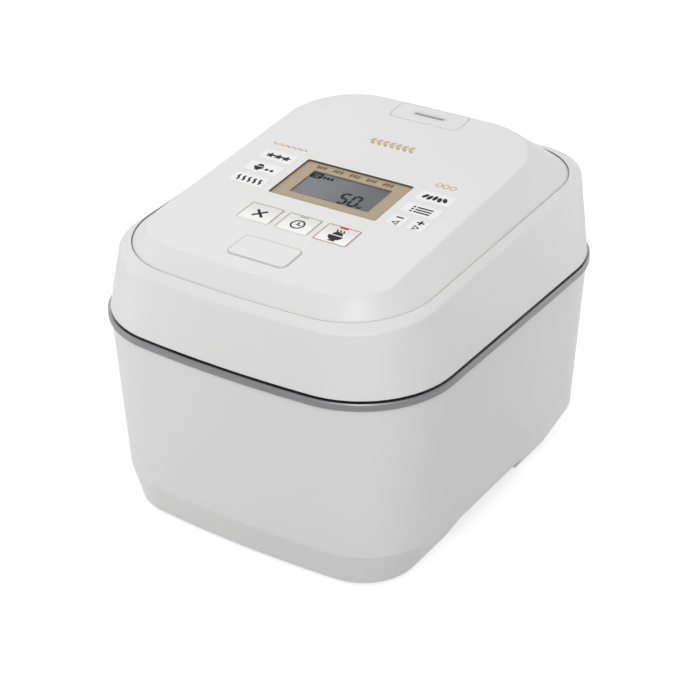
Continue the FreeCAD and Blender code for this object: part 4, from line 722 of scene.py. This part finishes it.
def gap_shades():
    """Dark strips of painted shade low in the gaps round the top panel and the release button, and a painted shade
    line along the button's edge.
    """
    strip = [seam_plan(inset) for inset in PANEL_SHADE_STRIP]
    # Painted shade: a dark strip low in the gap round the top panel
    mark("panel_gap_shade_strip", strip, -PANEL_SHADE_DEPTH, "lid", "panel_gap_shade", PANEL_SHADE_HEIGHT, SEAM)
    # Painted shade: a dark strip low in the gap round the release button
    ring = border(0, BUTTON_Y, grown(BUTTON_SIZE, BUTTON_GAP - SHADE_STRIP_PLAY),
                  BUTTON_SHADE_CORNER - SHADE_STRIP_PLAY, BUTTON_GAP - 2 * SHADE_STRIP_PLAY)
    mark("button_gap_shade_strip", ring, -BUTTON_SHADE_DEPTH, "lid", "button_gap_shade_strip", BUTTON_SHADE_HEIGHT)
    # Painted shade: a grey line along the button's edge, for the shade of the gap round it
    edge = border(0, BUTTON_Y, grown(BUTTON_SIZE, -BUTTON_EDGE_INSET), BUTTON_CORNER - BUTTON_EDGE_INSET,
                  EDGE_LINE)
    mark("button_edge_shade_line", edge, BUTTON_PROUD, "release", "grey_ink_and_shade")


def key_lips():
    """Soft lips of the panel that close the gaps round the side keys."""
    places = [(x, y, SIDE_SIZE) for x, y in SIDE_KEYS.values()]
    places += [(x, SIDE_Y[2], ARROW_SIZE) for x in ARROW_X.values()]
    loops = []
    for x, y, size in places:
        loops += border(x, y, grown(size, KEY_GAP), KEY_CORNER + KEY_GAP, KEY_GAP - LIP_PLAY)
    mark("key_lips", loops, -PRINT, "lid", "white")


def main_key_mark(name, key, loops, shift, material, height=KEY_TOP):
    """A print on one of the three main keys, shifted from its middle to the rear."""
    mark(name, moved(loops, KEY_X[key], KEY_Y + shift), height, key, material)


def main_key_marks():
    """Borders, signs and lamps of the three main keys."""
    for key in KEY_X:
        color = "red_border" if key == "key_cook" else "border"
        main_key_mark(f"{key}_border", key, border(0, 0, KEY_SIZE, KEY_CORNER, KEY_LINE), 0, color)
    main_key_mark("cancel_sign", "key_cancel", cross(4, 0.8, 2.0), -0.5, "ink")
    face = clock(5.4, 1.3, [(0, 2.9), (0, -0.5), (2.7, -0.5)], 1.4)
    main_key_mark("timer_sign", "key_timer", face, -0.8, "ink")
    main_key_mark("timer_lamp", "key_timer", [rectangle(-0.8, 0, 7.0, 1.5, 0.7)], 8.6, "grey_ink_and_shade")
    steam = [wisp(shift, 4.6, 2.6, 0.5, 1.1) for shift in (-2.6, 0.0, 2.6)]
    main_key_mark("cook_sign", "key_cook", bowl(5.6) + steam, -1.2, "ink")
    main_key_mark("cook_lamp", "key_cook", [rectangle(0, 0, 7.0, 2.1, 0.9)], 9.2, "led", KEY_TOP + PRINT)


def side_key_mark(key, x, y, size, sign, shift):
    """The sign and the dotted edges of one side key."""
    mark(f"{key}_sign", moved(sign, x, y + shift), KEY_TOP, key, "ink")
    mark(f"{key}_dots", moved(dotted_edges(size), x, y), KEY_TOP, key, "pale_ink_and_shade")


def side_key_marks():
    """Signs and dotted edges of the keys beside the display."""
    small_bowl = moved(bowl(4.0), -4.2, 0.6)
    signs = {"key_left_1": [star(shift, 0, 3.7) for shift in (-6.8, 0, 6.8)],
             "key_left_2": small_bowl + [circle(shift, -1.2, 1.5, 16) for shift in (3.0, 7.2)],
             "key_left_3": [wisp(shift, -3.2, 6.4, 0.8, 1.7) for shift in (-9, -4.5, 0, 4.5, 9)],
             "key_right_1": [rice(shift, 0.4 * (-1) ** i, 6.0, 60 + 15 * i)
                             for i, shift in enumerate((-7.6, -3.8, 0, 3.8, 7.6))],
             "key_right_2": listing((-2.9, 0, 2.9))}
    for key, (x, y) in SIDE_KEYS.items():
        side_key_mark(key, x, y, SIDE_SIZE, signs[key], -0.2)
    for key, way in (("key_back", -1), ("key_next", 1)):
        side_key_mark(key, ARROW_X[key], SIDE_Y[2], ARROW_SIZE, arrow(way), -2.8)


def gold_marks():
    """Plain gold ornaments: a wave over the left keys, coils over the right ones and a rice ear at the rear."""
    curl = [(WAVE_STEP * (i - WAVE_STEPS / 2), WAVE_SWING * math.sin(WAVE_TURN * i)) for i in range(WAVE_STEPS + 1)]
    mark("wave_ornament", moved([stroke(curl, WAVE_LINE)], *WAVE_AT), 0, "lid", "gold_ink")
    coils = [circle(COIL_PITCH * place, 0, radius, 28) for place in (-1, 0, 1) for radius in COIL_RADII]
    mark("coil_ornament", moved(coils, *COILS_AT), 0, "lid", "gold_ink")
    ear = [rectangle(0, 0, *EAR_STEM)]
    for i in range(EAR_GRAINS):
        x = EAR_START + EAR_PITCH * i
        ear += [rice(x, EAR_GRAIN_SIDE, EAR_GRAIN, EAR_GRAIN_ANGLE),
                rice(x + EAR_LAG, -EAR_GRAIN_SIDE, EAR_GRAIN, -EAR_GRAIN_ANGLE)]
    mark("ear_ornament", moved(ear, *EAR_AT), 0, "lid", "gold_ink")


def display_marks():
    """A dark brown lining of painted shadow on the wall of the display's opening, the display's figures and the
    grains on its bezel.
    """
    # Painted shadow: a dark brown lining on the inner wall of the display's opening
    surround = border(0, DISPLAY_Y, DISPLAY_SIZE, DISPLAY_CORNER, SURROUND_LINE)
    mark("display_wall_shade", surround, BEZEL_TOP, "lid", "brown_ink_and_shade", -BEZEL_TOP)
    figures = []
    for x, lit in FIGURES:
        figures += digit(x, FIGURE_Y, FIGURE_HEIGHT, lit)
    figures += moved([rectangle(0, 0, 3.2, 3.0, 0.8), rectangle(0, 0, 1.2, 1.0)], *UNIT_AT)
    figures += moved([rectangle(0, 0, 9.4, 7.2, 2.2), rectangle(0, 1.2, 5.0, 0.8),
                      rectangle(0, -1.2, 3.6, 0.8)], *BADGE_AT)
    figures += moved([rectangle(BLOCK_PITCH * i, 0, 2.3, 3.4, 0.6) for i in range(3)], *BLOCKS_AT)
    mark("lcd_figures", figures, LCD_TOP, "lid", "segment")
    grains = []
    for group in range(BEZEL_GROUPS):
        grains += [rice(BEZEL_GROUP_PITCH * group + BEZEL_GRAIN_PITCH * i, 0, BEZEL_GRAIN,
                        BEZEL_GRAIN_ANGLES[(group + i) % 3]) for i in (-1, 0, 1)]
    mark("bezel_figures", moved(grains, *BEZEL_GRAINS_AT), BEZEL_TOP, "lid", "brown_ink_and_shade")


def steam_grille():
    """A slotted insert in the opening of the steam cap, and painted shade lines round the cap and its opening."""
    width, depth = grown(CAP_SLOT, -GRILLE_PLAY)
    loops = [rectangle(0, CAP_Y, width, depth, depth * ROUND_END)]
    reach, slit = width - SLIT_MARGINS[0], depth - SLIT_MARGINS[1]
    loops += [rectangle(reach * ((i + 0.5) / GRILLE_SLITS - 0.5), CAP_Y, SLIT_WIDTH, slit, SLIT_CORNER)
              for i in range(GRILLE_SLITS)]
    mark("steam_grille", loops, -GRILLE_DEPTH, "steam_cap", "grille", GRILLE_THICKNESS)
    # Painted shade: pale grey lines along the cap's edge and round its opening
    ring = grown(CAP_SLOT, RING_MARGIN)
    lines = border(0, CAP_Y, grown(CAP_SIZE, -CAP_EDGE_INSET), CAP_CORNER - CAP_EDGE_INSET, EDGE_LINE)
    lines += border(0, CAP_Y, ring, ring[1] * ROUND_END, RING_LINE)
    mark("cap_shade_lines", lines, 0, "steam_cap", "pale_ink_and_shade")


def pot_marks():
    """Plain level lines and numbers on the inner wall of the pot."""
    loops = []
    for step, lit in enumerate(POT_FIGURES):
        level = POT_LEVEL + POT_LEVEL_STEP * step
        loops += digit(POT_FIGURE_X, level, POT_FIGURE_HEIGHT, lit)
        loops += [rectangle(x, level, *POT_DASH) for x in POT_DASHES_X]
    piece = mark("pot_levels", loops, POT_MARKS_PROUD, "base", "pale_ink_and_shade", PRINT, Matrix.Identity(4))
    for vertex in piece.data.vertices:
        along, level, proud = vertex.co / MM
        radius = POT_FOOT_RADIUS + POT_FLARE * (level - POT_FLOOR) - proud
        turn = POT_MARKS_AT - along / radius
        vertex.co = Vector((radius * math.cos(turn), POT_Y + radius * math.sin(turn), level)) * MM


make_camera()
make_world()
make_floor()
for lamp in LAMPS:
    area_light(*lamp)
MATERIALS = make_materials()
dress_nodes()
sensor_coil()
gap_shades()
key_lips()
main_key_marks()
side_key_marks()
gold_marks()
display_marks()
steam_grille()
pot_marks()
bpy.context.scene.view_settings.view_transform = "Standard"
